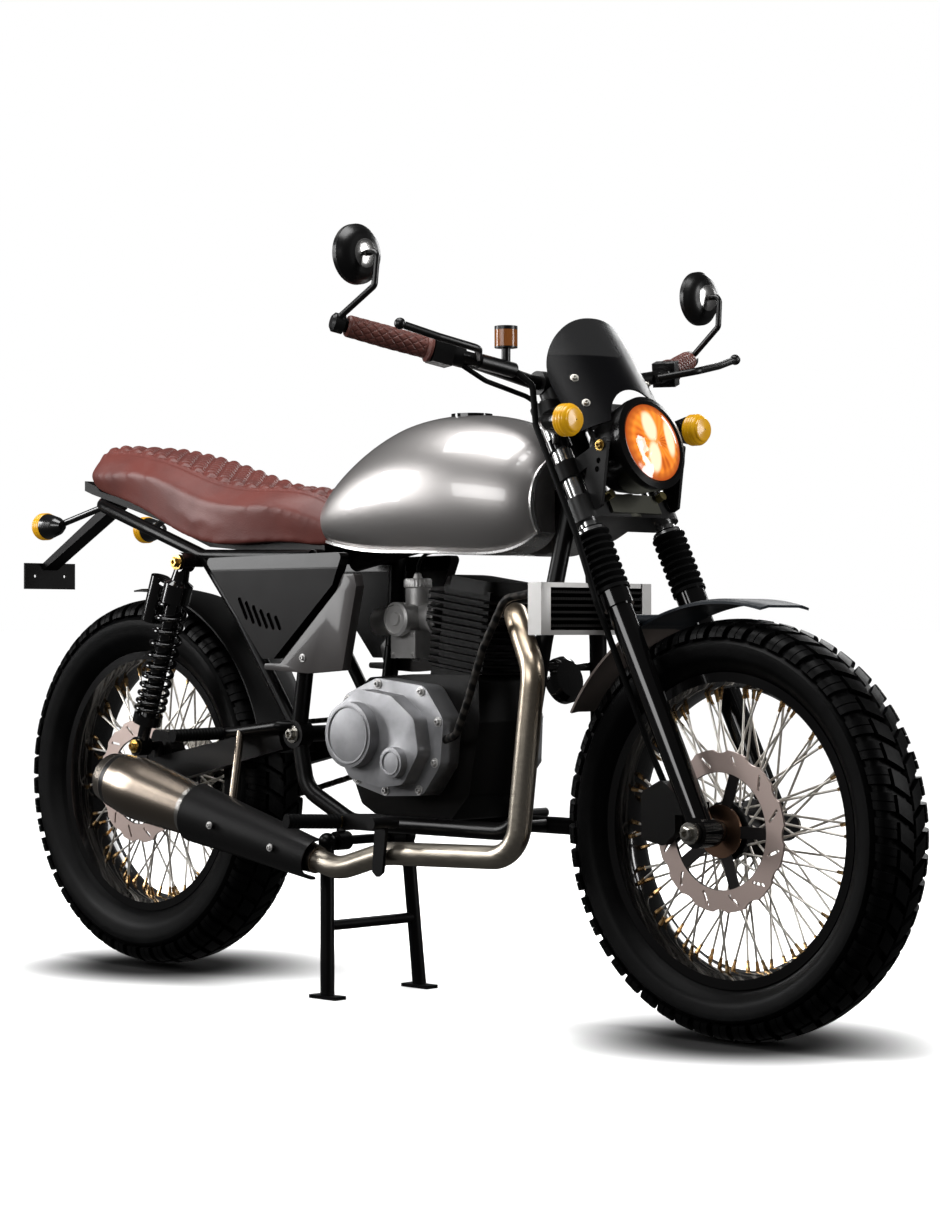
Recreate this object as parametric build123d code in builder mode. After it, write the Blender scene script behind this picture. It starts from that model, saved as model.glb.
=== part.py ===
"""Scrambler motorcycle with one cylinder, wire wheels and twin shocks, parked on its centre stand.

Millimetres. +X is forward, +Y the rider's left, +Z up. The floor is z = 0 and the origin lies
below the middle of the overall length. Steered pieces are placed in the fork's own frame:
s runs up the steering axis from the level of the front axle, "ahead" is square to that axis.
"""
import os
from math import cos, radians, sin

from build123d import *

os.makedirs("parts", exist_ok=True)

# Wheels
FRONT_AXLE_X = 700.0
WHEELBASE = 1368.0
FRONT_TYRE_R = 318.0
REAR_TYRE_R = 336.0
REAR_LIFT = 6.0
FRONT_TYRE_W = 120.0
REAR_TYRE_W = 134.0
RIM_SEAT_R = 226.0
RIM_FLANGE_R = 238.0
RIM_BED_R = 214.0
FRONT_RIM_W = 74.0
REAR_RIM_W = 88.0
SPOKE_R = 1.9
SPOKES_PER_SIDE = 36
FRONT_DISC_R = 122.0
REAR_DISC_R = 112.0
DISC_T = 4.0
FRONT_DISC_Y = -50.0
REAR_DISC_Y = -58.0
AXLE_R = 9.0

# Steering and fork
RAKE = 26.3
FORK_OFFSET = 45.0
FORK_HALF = 90.0
SLIDER_R = 20.0
TUBE_R = 16.0
BOOT_R = 27.0
STEM_R = 14.0
SLIDER_TOP = 400.0
BOOT_TOP = 508.0
LOWER_YOKE_S = 520.0
LOWER_YOKE_T = 40.0
UPPER_YOKE_S = 704.0
UPPER_YOKE_T = 22.0
HEAD_GAP = 2.0
HEAD_R = 27.0

# Frame
CRADLE_Z = 298.0
CRADLE_Y = 85.0
CRADLE_R = 14.0
REAR_FRAME_Y = 100.0
BACKBONE_R = 17.0
RAIL_R = 11.0
PIVOT = (-185.0, 442.0)
PIVOT_R = 24.0
SHOCK_TOP = (-442.0, 738.0)
SHOCK_LOW = (-560.0, 412.0)
SHOCK_Y = 140.0
PIN_R = 8.0

# Drive
CHAIN_Y = 77.0
CHAIN_W = 10.0
CHAIN_H = 12.0
FRONT_SPROCKET = (-70.0, 442.0)
FRONT_SPROCKET_R = 36.0
REAR_SPROCKET_R = 88.0

# Lamp, bars and stand
LAMP_R = 75.0
LAMP_TILT = 15.0
LAMP_S = 609.0
LAMP_AHEAD = 148.0
BAR_R = 11.0
GRIP_R = 17.0
BAR_END_Y = 404.0
MIRROR_R = 46.0
STAND_PIVOT = (-120.0, 262.0)
STAND_FOOT_X = -104.0
STAND_Y = 104.0
STAND_R = 12.0

# Fits
RUN = 0.05
GAP = 0.3
CLEAR = 6.0

REAR_AXLE_X = FRONT_AXLE_X - WHEELBASE
REAR_AXLE_Z = REAR_TYRE_R + REAR_LIFT
TAIL_X = -(FRONT_AXLE_X + FRONT_TYRE_R)
FRONT_AXLE = Vector(FRONT_AXLE_X, 0, FRONT_TYRE_R)
REAR_AXLE = Vector(REAR_AXLE_X, 0, REAR_AXLE_Z)
FORWARD = Vector(cos(radians(RAKE)), 0, sin(radians(RAKE)))
UPWARD = Vector(-sin(radians(RAKE)), 0, cos(radians(RAKE)))
FOOT = FRONT_AXLE - FORWARD * FORK_OFFSET
AXIAL = (Align.CENTER, Align.CENTER, Align.MIN)


def fork(s, ahead=0.0, left=0.0):
    """Point in the fork's frame."""
    return FOOT + UPWARD * s + FORWARD * ahead + Vector(0, left, 0)


def fork_plane(s, ahead=0.0, left=0.0):
    """Plane square to the steering axis: local x is ahead, local y is left."""
    return Plane(origin=fork(s, ahead, left), x_dir=FORWARD, z_dir=UPWARD)


def side_plane(y, x=0.0, z=0.0):
    """Side view at y: local x is forward, local y is up, and the normal points right."""
    return Plane(origin=(x, y, z), x_dir=(1, 0, 0), z_dir=(0, -1, 0))


def rod_plane(start, end):
    """Plane at start whose normal points to end."""
    return Plane(origin=start, z_dir=Vector(*end) - Vector(*start))


def flip(point):
    """The same point on the other side of the machine."""
    return (point[0], -point[1], point[2])


def keep(piece, name):
    """Labels a finished piece and writes its file."""
    piece.label = name
    export_step(piece, f"parts/{name}.step")


def turned(profile, origin, along, arc=360.0):
    """Revolved solid: profile is (radius, distance) points about the axis through origin."""
    across = Plane(origin=origin, z_dir=along).x_dir
    with BuildPart() as piece:
        with BuildSketch(Plane(origin=origin, x_dir=across, z_dir=across.cross(Vector(*along)))):
            with BuildLine():
                Polyline(*profile, close=True)
            make_face()
        revolve(axis=Axis(origin, along), revolution_arc=arc)
    return piece.part


def pipe(points, radius, bend):
    """Round bar along straight runs joined by arcs."""
    with BuildPart() as piece:
        with BuildLine() as path:
            FilletPolyline(*points, radius=bend)
        with BuildSketch(Plane(origin=path.line @ 0, z_dir=path.line % 0)):
            Circle(radius)
        sweep(path=path.line)
    return piece.part


def rod(start, end, radius):
    """Straight round bar between two points."""
    with BuildPart() as piece:
        with Locations(rod_plane(start, end)):
            Cylinder(radius, (Vector(*end) - Vector(*start)).length, align=AXIAL)
    return piece.part


def slab(points, y_from, y_to, corner=0.0):
    """Side-view outline given depth from one y to another, its corners rounded."""
    with BuildPart() as piece:
        with BuildSketch(side_plane(max(y_from, y_to))) as face:
            with BuildLine():
                Polyline(*points, close=True)
            make_face()
            if corner:
                fillet(face.vertices(), corner)
        extrude(amount=abs(y_to - y_from))
    return piece.part


def shell_loft(table, rounds):
    """Body lofted lengthwise through six-cornered sections, each corner rounded.

    Columns: x, half width and height of the bottom, the widest line and the top.
    """
    with BuildPart() as piece:
        for x, low_w, low_z, mid_w, mid_z, top_w, top_z in table:
            corners = ((low_w, low_z), (mid_w, mid_z), (top_w, top_z))
            ring = corners + tuple((-w, z) for w, z in reversed(corners))
            with BuildSketch(Plane(origin=(x, 0, 0), x_dir=(0, 1, 0), z_dir=(1, 0, 0))) as section:
                with BuildLine():
                    Polyline(*ring, close=True)
                make_face()
                for row, size in enumerate(rounds):
                    level = corners[row][1]
                    near = [v for v in section.vertices() if abs(v.Z - level) < 0.01]
                    fillet(near, size)
        loft()
    return piece.part


# Tyres: bead, sidewall, shoulder and crown, out to the tips of the tread blocks
for end, axle, tyre_r, tyre_w, rim_w in (
    ("front", FRONT_AXLE, FRONT_TYRE_R, FRONT_TYRE_W, FRONT_RIM_W),
    ("rear", REAR_AXLE, REAR_TYRE_R, REAR_TYRE_W, REAR_RIM_W),
):
    wall = tyre_r - RIM_SEAT_R
    half = (
        (rim_w / 2 - 4 - GAP, RIM_SEAT_R + GAP),
        (rim_w / 2 - 4 - GAP, RIM_FLANGE_R),
        (tyre_w * 0.47, RIM_SEAT_R + wall * 0.34),
        (tyre_w * 0.50, RIM_SEAT_R + wall * 0.58),
        (tyre_w * 0.465, tyre_r - wall * 0.16),
        (tyre_w * 0.26, tyre_r - wall * 0.03),
        (tyre_w * 0.09, tyre_r),
    )
    ring = half + tuple((-y, r) for y, r in reversed(half))
    with BuildPart() as tyre:
        with BuildSketch(Plane(origin=axle, x_dir=(0, 1, 0), z_dir=(1, 0, 0))):
            with BuildLine():
                Polyline(*ring, close=True)
            make_face()
        revolve(axis=Axis(axle, (0, 1, 0)))
    keep(tyre.part, f"{end}_tyre")

    half = (
        (rim_w / 2 - 4, RIM_SEAT_R),
        (rim_w / 2 - 4, RIM_FLANGE_R - GAP),
        (rim_w / 2, RIM_FLANGE_R - GAP),
        (rim_w / 2, RIM_SEAT_R - 3),
        (rim_w / 4, RIM_BED_R),
    )
    ring = half + tuple((-y, r) for y, r in reversed(half))
    with BuildPart() as rim:
        with BuildSketch(Plane(origin=axle, x_dir=(0, 1, 0), z_dir=(1, 0, 0))):
            with BuildLine():
                Polyline(*ring, close=True)
            make_face()
        revolve(axis=Axis(axle, (0, 1, 0)))
    keep(rim.part, f"{end}_rim")

# Hubs with laced spokes, as wide as the brake disc lets them: flange offset and radius
for end, axle, disc_y, flange_y, flange_r in (
    ("front", FRONT_AXLE, FRONT_DISC_Y, 33.0, 44.0),
    ("rear", REAR_AXLE, REAR_DISC_Y, 36.0, 58.0),
):
    body_w = -disc_y - DISC_T / 2
    half = (
        (AXLE_R + RUN, body_w),
        (flange_r * 0.6, body_w),
        (flange_r * 0.6, flange_y + 6),
        (flange_r, flange_y + 6),
        (flange_r, flange_y - 6),
        (flange_r * 0.55, flange_y - 10),
    )
    barrel = half + tuple((r, -y) for r, y in reversed(half))
    body = turned(barrel, axle, (0, 1, 0))
    lacing = []
    for side in (1, -1):
        for index in range(SPOKES_PER_SIDE):
            lean = 1 if index % 2 else -1
            at_hub = radians(360 / SPOKES_PER_SIDE * (index + 0.25 * side))
            at_rim = at_hub + radians(38 * lean)
            seat_r = RIM_BED_R - 1.2
            low = (flange_r - 5, side * (flange_y + 4 * lean))
            high = (seat_r, side * (9 + 4 * lean))
            start = axle + Vector(low[0] * cos(at_hub), low[1], low[0] * sin(at_hub))
            stop = axle + Vector(high[0] * cos(at_rim), high[1], high[0] * sin(at_rim))
            lacing.append(rod(start, stop, SPOKE_R))
    with BuildPart() as hub:
        add(body)
        add(lacing)
    keep(hub.part, f"{end}_hub")

# Brake discs: slotted ring with a waved edge, five arms and a centre that bolts to the hub
WAVES = 12
WAVE_R = 26.0
WAVE_DEPTH = 5.0
DISC_RING = 34.0
for end, axle, disc_r, disc_y, centre_r in (
    ("front", FRONT_AXLE, FRONT_DISC_R, FRONT_DISC_Y, 26.0),
    ("rear", REAR_AXLE, REAR_DISC_R, REAR_DISC_Y, 34.0),
):
    with BuildPart() as disc:
        with BuildSketch(side_plane(disc_y + DISC_T / 2, axle.X, axle.Z)):
            Circle(disc_r)
            with PolarLocations(disc_r + WAVE_R - WAVE_DEPTH, WAVES):
                Circle(WAVE_R, mode=Mode.SUBTRACT)
            with PolarLocations(disc_r - DISC_RING / 2, WAVES, start_angle=180 / WAVES):
                SlotOverall(DISC_RING * 0.72, 4.6, rotation=38, mode=Mode.SUBTRACT)
            Circle(disc_r - DISC_RING, mode=Mode.SUBTRACT)
            with PolarLocations((disc_r - DISC_RING + centre_r) / 2, 5):
                Rectangle(disc_r - DISC_RING - centre_r + 30, 18)
            Circle(centre_r + 14)
            Circle(AXLE_R + 6, mode=Mode.SUBTRACT)
        extrude(amount=DISC_T)
    keep(disc.part, f"{end}_disc")

# Front axle with its spacers and nuts, and the hollow rear axle
collar = AXLE_R + 6
inner = FORK_HALF - SLIDER_R
hub_end = -FRONT_DISC_Y - DISC_T / 2
with BuildPart() as front_axle:
    add(turned(((0, -118), (AXLE_R, -118), (AXLE_R, 118), (0, 118)), FRONT_AXLE, (0, 1, 0)))
    for side in (1, -1):
        spacer = ((0, hub_end + 2), (collar - 1, hub_end + 2), (collar - 1, inner - GAP), (0, inner - GAP))
        nut = ((0, FORK_HALF + SLIDER_R + 2), (collar, FORK_HALF + SLIDER_R + 2), (collar, 122), (0, 122))
        add(turned(spacer, FRONT_AXLE, (0, side, 0)))
        add(turned(nut, FRONT_AXLE, (0, side, 0)))
keep(front_axle.part, "front_axle")

ARM_IN = 88.0
ARM_OUT = 112.0
AXLE_BORE_R = 6.0
with BuildPart() as rear_axle:
    half = ((AXLE_BORE_R, 0), (AXLE_BORE_R, 126), (collar, 126), (collar, ARM_OUT + GAP), (AXLE_R, ARM_OUT + GAP))
    shaft = half + ((AXLE_R, ARM_IN - GAP), (collar, ARM_IN - GAP), (collar, 86), (AXLE_R, 86), (AXLE_R, 0))
    for side in (1, -1):
        add(turned(shaft, REAR_AXLE, (0, side, 0)))
keep(rear_axle.part, "rear_axle")

# Rear sprocket with its carrier, inside the chain's loop
rear_hub_end = -REAR_DISC_Y - DISC_T / 2
with BuildPart() as rear_sprocket:
    with BuildSketch(side_plane(CHAIN_Y + 3, REAR_AXLE_X, REAR_AXLE_Z)):
        Circle(REAR_SPROCKET_R - CHAIN_H / 2 - 1)
        with PolarLocations(58, 6):
            Circle(12, mode=Mode.SUBTRACT)
        Circle(AXLE_R + RUN, mode=Mode.SUBTRACT)
    extrude(amount=6)
    with BuildSketch(side_plane(CHAIN_Y - 3, REAR_AXLE_X, REAR_AXLE_Z)):
        Circle(36)
        Circle(AXLE_R + RUN, mode=Mode.SUBTRACT)
    extrude(amount=CHAIN_Y - 3 - rear_hub_end)
keep(rear_sprocket.part, "rear_sprocket")

# Chain: the loop round both sprockets
with BuildPart() as chain:
    for grow, mode in ((CHAIN_H / 2, Mode.ADD), (-CHAIN_H / 2, Mode.SUBTRACT)):
        with BuildSketch(side_plane(CHAIN_Y + CHAIN_W / 2)):
            with Locations(FRONT_SPROCKET):
                Circle(FRONT_SPROCKET_R + grow)
            with Locations((REAR_AXLE_X, REAR_AXLE_Z)):
                Circle(REAR_SPROCKET_R + grow)
            make_hull()
        extrude(amount=CHAIN_W, mode=mode)
keep(chain.part, "chain")

# Frame: tubes by radius, bend and points; the paired ones are given for the right side
backbone = (fork(600), (-150, 0, 736))
PAIRED_TUBES = (
    (CRADLE_R, 55, (
        fork(640, 0, -12), (352, -64, 600), (336, -CRADLE_Y, 430), (320, -CRADLE_Y, CRADLE_Z),
        (-70, -CRADLE_Y, CRADLE_Z), (-165, -REAR_FRAME_Y, 350), (PIVOT[0], -REAR_FRAME_Y, PIVOT[1]),
        (-160, -REAR_FRAME_Y, 600), (-150, -REAR_FRAME_Y, 744),
    )),
    (RAIL_R, 50, (
        (-150, -REAR_FRAME_Y, 744), (-430, -104, 750), (-585, -104, 802), (-740, -88, 848), (-780, -50, 858),
        (-786, 0, 860),
    )),
    (RAIL_R, 40, (
        (PIVOT[0], -REAR_FRAME_Y, PIVOT[1]), (-330, -104, 640), (-430, -104, 750),
    )),
    (9, 12, (
        (PIVOT[0], -REAR_FRAME_Y, 456), (-205, -128, 456), (-345, -128, 440),
    )),
)
CROSS_TUBES = ((12, -150, 744, REAR_FRAME_Y), (10, 225, CRADLE_Z, CRADLE_Y), (10, -60, CRADLE_Z, CRADLE_Y))
tubes = [rod(*backbone, BACKBONE_R)]
for radius, bend, points in PAIRED_TUBES:
    tubes.append(pipe(points, radius, bend))
    tubes.append(pipe([flip(tuple(p)) for p in points], radius, bend))
for radius, x, z, half_y in CROSS_TUBES:
    tubes.append(rod((x, -half_y, z), (x, half_y, z), radius))
for side in (1, -1):
    tubes.append(rod((PIVOT[0], side * 86, PIVOT[1]), (PIVOT[0], side * 114, PIVOT[1]), PIVOT_R))
    tubes.append(rod((SHOCK_TOP[0], side * 98, SHOCK_TOP[1]), (SHOCK_TOP[0], side * 156, SHOCK_TOP[1]), PIN_R))
    tubes.append(rod((-15, side * CRADLE_Y, CRADLE_Z), (-15, side * 164, CRADLE_Z + 6), 9))
    tubes.append(rod((STAND_PIVOT[0], side * 62, CRADLE_Z + 10), (STAND_PIVOT[0], side * 62, STAND_PIVOT[1]), 8))
    tubes.append(rod((STAND_PIVOT[0], side * 60, CRADLE_Z + 4), (STAND_PIVOT[0] + 30, side * CRADLE_Y, CRADLE_Z), 8))
head_low = LOWER_YOKE_S + LOWER_YOKE_T + HEAD_GAP
head_high = UPPER_YOKE_S - HEAD_GAP
with BuildPart() as frame:
    add(tubes)
    with Locations(fork_plane(head_low)):
        Cylinder(HEAD_R, head_high - head_low, align=AXIAL)
    with Locations(fork_plane(head_low - 60)):
        Cylinder(HEAD_R + 8, 60, align=AXIAL, mode=Mode.SUBTRACT)
    with Locations(fork_plane(head_low - 10)):
        Cylinder(STEM_R + RUN, 300, align=AXIAL, mode=Mode.SUBTRACT)
    with BuildSketch(side_plane(62 + 14, *STAND_PIVOT)):
        Circle(16)
    extrude(amount=28)
    with BuildSketch(side_plane(-62 + 14, *STAND_PIVOT)):
        Circle(16)
    extrude(amount=28)
    with Locations(Plane(origin=(STAND_PIVOT[0], -200, STAND_PIVOT[1]), z_dir=(0, 1, 0))):
        Cylinder(PIN_R + RUN, 400, align=AXIAL, mode=Mode.SUBTRACT)
keep(frame.part, "frame")

# Centre stand: pivot tube, splayed legs with feet and a tie bar
with BuildPart() as centre_stand:
    foot_top = 6.0
    add(rod((STAND_PIVOT[0], -STAND_Y, STAND_PIVOT[1]), (STAND_PIVOT[0], STAND_Y, STAND_PIVOT[1]), PIN_R))
    for side in (1, -1):
        hip = (STAND_PIVOT[0], side * (STAND_Y - 10), STAND_PIVOT[1])
        ankle = (STAND_FOOT_X, side * (STAND_Y + 4), foot_top)
        add(rod(hip, ankle, STAND_R))
        with Locations((STAND_PIVOT[0], side * (STAND_Y - 10), STAND_PIVOT[1])):
            Sphere(STAND_R + 3)
        with Locations((STAND_FOOT_X, side * (STAND_Y + 4), 0)):
            Box(64, 26, foot_top, align=AXIAL)
    shin = 0.55
    tie = Vector(STAND_PIVOT[0], 0, STAND_PIVOT[1]) * (1 - shin) + Vector(STAND_FOOT_X, 0, foot_top) * shin
    add(rod((tie.X, -STAND_Y, tie.Z), (tie.X, STAND_Y, tie.Z), STAND_R - 3))
keep(centre_stand.part, "centre_stand")

# Swingarm: two tapered arms, pivot tube and a bridge that carries the rear fender
FENDER_R = REAR_TYRE_R + 14
FENDER_T = 3.0
BRIDGE_R = 12.0
bridge_at = FENDER_R + FENDER_T + BRIDGE_R - 1
BRIDGE_ANGLE = radians(15)
bridge = (REAR_AXLE_X + bridge_at * cos(BRIDGE_ANGLE), REAR_AXLE_Z + bridge_at * sin(BRIDGE_ANGLE))
with BuildPart() as swingarm:
    for side in (1, -1):
        with BuildSketch(side_plane(max(side * ARM_IN, side * ARM_OUT))):
            with Locations(PIVOT):
                Circle(20)
            with Locations((REAR_AXLE_X, REAR_AXLE_Z)):
                Circle(27)
            make_hull()
            with Locations(PIVOT):
                Circle(PIVOT_R + 13, mode=Mode.SUBTRACT)
        extrude(amount=ARM_OUT - ARM_IN)
        add(rod((SHOCK_LOW[0], side * 100, SHOCK_LOW[1] - 50), (SHOCK_LOW[0], side * 100, SHOCK_LOW[1]), 10))
        add(rod((SHOCK_LOW[0], side * 96, SHOCK_LOW[1]), (SHOCK_LOW[0], side * 156, SHOCK_LOW[1]), PIN_R))
        add(rod((PIVOT[0], 0, PIVOT[1]), (PIVOT[0], side * (86 - GAP), PIVOT[1]), 14))
        add(rod((PIVOT[0], side * 60, PIVOT[1]), (bridge[0], side * 96, bridge[1] - 6), 11))
    add(rod((bridge[0], -ARM_IN - 4, bridge[1]), (bridge[0], ARM_IN + 4, bridge[1]), BRIDGE_R))
    add(turned(
        ((FENDER_R - 1, -62), (FENDER_R + FENDER_T + 1, -62), (FENDER_R + FENDER_T + 1, 62), (FENDER_R - 1, 62)),
        REAR_AXLE, (0, 1, 0)), mode=Mode.SUBTRACT)
    with Locations(Plane(origin=(REAR_AXLE_X, -200, REAR_AXLE_Z), z_dir=(0, 1, 0))):
        Cylinder(AXLE_R + RUN, 400, align=AXIAL, mode=Mode.SUBTRACT)
keep(swingarm.part, "swingarm")

# Fenders: sheets rolled about their wheel, by angles back from straight ahead
def rolled(axle, radius, thick, half_w, start, sweep_angle):
    """Curved sheet about an axle; the sheet's edges turn in towards the tyre."""
    outward = Vector(cos(radians(start)), 0, sin(radians(start)))
    face = Plane(origin=axle, x_dir=outward, z_dir=outward.cross(Vector(0, 1, 0)))
    with BuildPart() as piece:
        with BuildSketch(face):
            with BuildLine():
                Polyline(
                    (radius, -half_w), (radius + thick, -half_w * 0.7), (radius + thick, half_w * 0.7),
                    (radius, half_w), (radius - thick, half_w), (radius, half_w * 0.66),
                    (radius, -half_w * 0.66), (radius - thick, -half_w), close=True)
            make_face()
        revolve(axis=Axis(axle, (0, -1, 0)), revolution_arc=sweep_angle)
    return piece.part


with BuildPart() as rear_fender:
    add(rolled(REAR_AXLE, FENDER_R, FENDER_T, 61, 10, 82))
keep(rear_fender.part, "rear_fender")

FRONT_FENDER_R = FRONT_TYRE_R + 26
with BuildPart() as front_fender:
    add(rolled(FRONT_AXLE, FRONT_FENDER_R, 4, 58, 76, 74))
    add(rod(fork(FRONT_FENDER_R + 8, FORK_OFFSET, -inner + GAP), fork(FRONT_FENDER_R + 8, FORK_OFFSET, inner - GAP), 9))
keep(front_fender.part, "front_fender")

# Fork: yokes with the stem and bar clamps, tubes, boots and sliders
BAR_S = 782.0
BAR_AHEAD = 25.0
RISER_Y = 45.0
YOKE_FRONT = FORK_OFFSET + TUBE_R + 8
PLATE_BOLT_Y = 60.0
bar_middle = fork(BAR_S, BAR_AHEAD)
with BuildPart() as yokes:
    clamps = ((FORK_OFFSET, FORK_HALF), (FORK_OFFSET, -FORK_HALF))
    neck = ((0, 0), (FORK_OFFSET, 0))
    for level, depth in ((LOWER_YOKE_S, LOWER_YOKE_T), (UPPER_YOKE_S, UPPER_YOKE_T)):
        for ends, round_r in ((clamps, TUBE_R + 8), (neck, HEAD_R)):
            with BuildSketch(fork_plane(level)):
                with Locations(*ends):
                    Circle(round_r)
                make_hull()
            extrude(amount=depth)
        with Locations(*[fork_plane(level - 1, FORK_OFFSET, side * FORK_HALF) for side in (1, -1)]):
            Cylinder(TUBE_R + RUN, depth + 2, align=AXIAL, mode=Mode.SUBTRACT)
    with Locations(fork_plane(LOWER_YOKE_S + 5)):
        Cylinder(STEM_R, UPPER_YOKE_S - LOWER_YOKE_S, align=AXIAL)
    with Locations(fork_plane(LOWER_YOKE_S + 5, YOKE_FRONT - 1)):
        Box(6, 2 * PLATE_BOLT_Y - 6, LOWER_YOKE_T - 8, align=(Align.MIN, Align.CENTER, Align.MIN))
    for side in (1, -1):
        bolt_s = LOWER_YOKE_S + LOWER_YOKE_T - 9
        add(rod(fork(bolt_s, YOKE_FRONT - 4, side * PLATE_BOLT_Y), fork(bolt_s, YOKE_FRONT + 18, side * PLATE_BOLT_Y), 7))
    for side in (1, -1):
        with Locations(fork_plane(UPPER_YOKE_S + UPPER_YOKE_T, BAR_AHEAD, side * RISER_Y)):
            Cylinder(14, BAR_S - UPPER_YOKE_S - UPPER_YOKE_T, align=AXIAL)
        add(rod(bar_middle + Vector(0, side * RISER_Y - 17, 0), bar_middle + Vector(0, side * RISER_Y + 17, 0), 19))
    add(rod(bar_middle - Vector(0, 200, 0), bar_middle + Vector(0, 200, 0), BAR_R + RUN), mode=Mode.SUBTRACT)
keep(yokes.part, "yokes")

with BuildPart() as fork_tubes:
    with Locations(*[fork_plane(SLIDER_TOP, FORK_OFFSET, side * FORK_HALF) for side in (1, -1)]):
        Cylinder(TUBE_R, UPPER_YOKE_S + UPPER_YOKE_T + 5 - SLIDER_TOP, align=AXIAL)
keep(fork_tubes.part, "fork_tubes")

with BuildPart() as fork_sliders:
    half = SLIDER_R + 1
    for side in (1, -1):
        with Locations(fork_plane(0, FORK_OFFSET, side * FORK_HALF)):
            Cylinder(SLIDER_R, SLIDER_TOP, align=AXIAL)
        with Locations(fork_plane(SLIDER_TOP - 26, FORK_OFFSET, side * FORK_HALF)):
            Cylinder(SLIDER_R + 4, 26, align=AXIAL)
        end_y = side * FORK_HALF
        add(rod(FRONT_AXLE + Vector(0, end_y - SLIDER_R, 0), FRONT_AXLE + Vector(0, end_y + SLIDER_R, 0), 23))
    add(rod(FRONT_AXLE - Vector(0, 200, 0), FRONT_AXLE + Vector(0, 200, 0), AXLE_R + RUN), mode=Mode.SUBTRACT)
keep(fork_sliders.part, "fork_sliders")

BOOT_RIBS = 8
pitch = (BOOT_TOP - SLIDER_TOP - 12) / BOOT_RIBS
bellows = [(TUBE_R + GAP, GAP), (BOOT_R, GAP), (BOOT_R, 6)]
for rib in range(BOOT_RIBS):
    bellows += [(BOOT_R - 6, 6 + pitch * (rib + 0.15)), (BOOT_R, 6 + pitch * (rib + 0.55)), (BOOT_R, 6 + pitch * (rib + 0.75))]
bellows += [(BOOT_R - 5, BOOT_TOP - SLIDER_TOP - 6), (BOOT_R - 5, BOOT_TOP - SLIDER_TOP), (TUBE_R + GAP, BOOT_TOP - SLIDER_TOP)]
with BuildPart() as fork_boots:
    for side in (1, -1):
        add(turned(bellows, fork(SLIDER_TOP, FORK_OFFSET, side * FORK_HALF), UPWARD))
keep(fork_boots.part, "fork_boots")

# Headlamp bowl and lens
lamp_dir = Vector(cos(radians(LAMP_TILT)), 0, sin(radians(LAMP_TILT)))
lamp_at = fork(LAMP_S, LAMP_AHEAD)
LENS_R = 62.0
LENS_SEAT = 8.0
bowl = (
    (0, -104), (34, -100), (56, -82), (68, -52), (LAMP_R - 2, -20), (LAMP_R, -12), (LAMP_R, 0), (LENS_R + 4, 4),
    (LENS_R + GAP, 2), (LENS_R + GAP, -LENS_SEAT), (0, -LENS_SEAT),
)
with BuildPart() as headlamp:
    add(turned(bowl, lamp_at, lamp_dir))
keep(headlamp.part, "headlamp")
dome = ((0, -LENS_SEAT + GAP), (LENS_R, -LENS_SEAT + GAP), (LENS_R, 1), (LENS_R * 0.72, 7), (LENS_R * 0.36, 10), (0, 11))
with BuildPart() as headlamp_lens:
    add(turned(dome, lamp_at, lamp_dir))
keep(headlamp_lens.part, "headlamp_lens")

# Flyscreen: a rolled sheet leaning back, trimmed to a rounded outline
SCREEN_FOOT = (500.0, 968.0)
SCREEN_LEAN = 35.0
SCREEN_BEND_R = 150.0
SCREEN_T = 3.0
SCREEN_OUTLINE = ((-102, 0), (-110, 62), (-92, 142), (-46, 176))
lean_up = Vector(-sin(radians(SCREEN_LEAN)), 0, cos(radians(SCREEN_LEAN)))
lean_out = Vector(cos(radians(SCREEN_LEAN)), 0, sin(radians(SCREEN_LEAN)))
screen_at = Vector(SCREEN_FOOT[0], 0, SCREEN_FOOT[1])
with BuildPart() as flyscreen:
    with BuildSketch(Plane(origin=screen_at, x_dir=lean_out, z_dir=lean_up)):
        with Locations((-SCREEN_BEND_R, 0)):
            Circle(SCREEN_BEND_R)
            Circle(SCREEN_BEND_R - SCREEN_T, mode=Mode.SUBTRACT)
        with Locations((20, 0)):
            Rectangle(180, 216, mode=Mode.INTERSECT)
    extrude(amount=176)
    with BuildSketch(Plane(origin=screen_at - lean_out * 120, x_dir=(0, 1, 0), z_dir=lean_out)) as trim:
        with BuildLine():
            Polyline(*SCREEN_OUTLINE, *[(-y, z) for y, z in reversed(SCREEN_OUTLINE)], close=True)
        make_face()
        fillet(trim.vertices(), 24)
        with Locations((0, -34)):
            Circle(68, mode=Mode.SUBTRACT)
    extrude(amount=240, mode=Mode.INTERSECT)
keep(flyscreen.part, "flyscreen")

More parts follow.
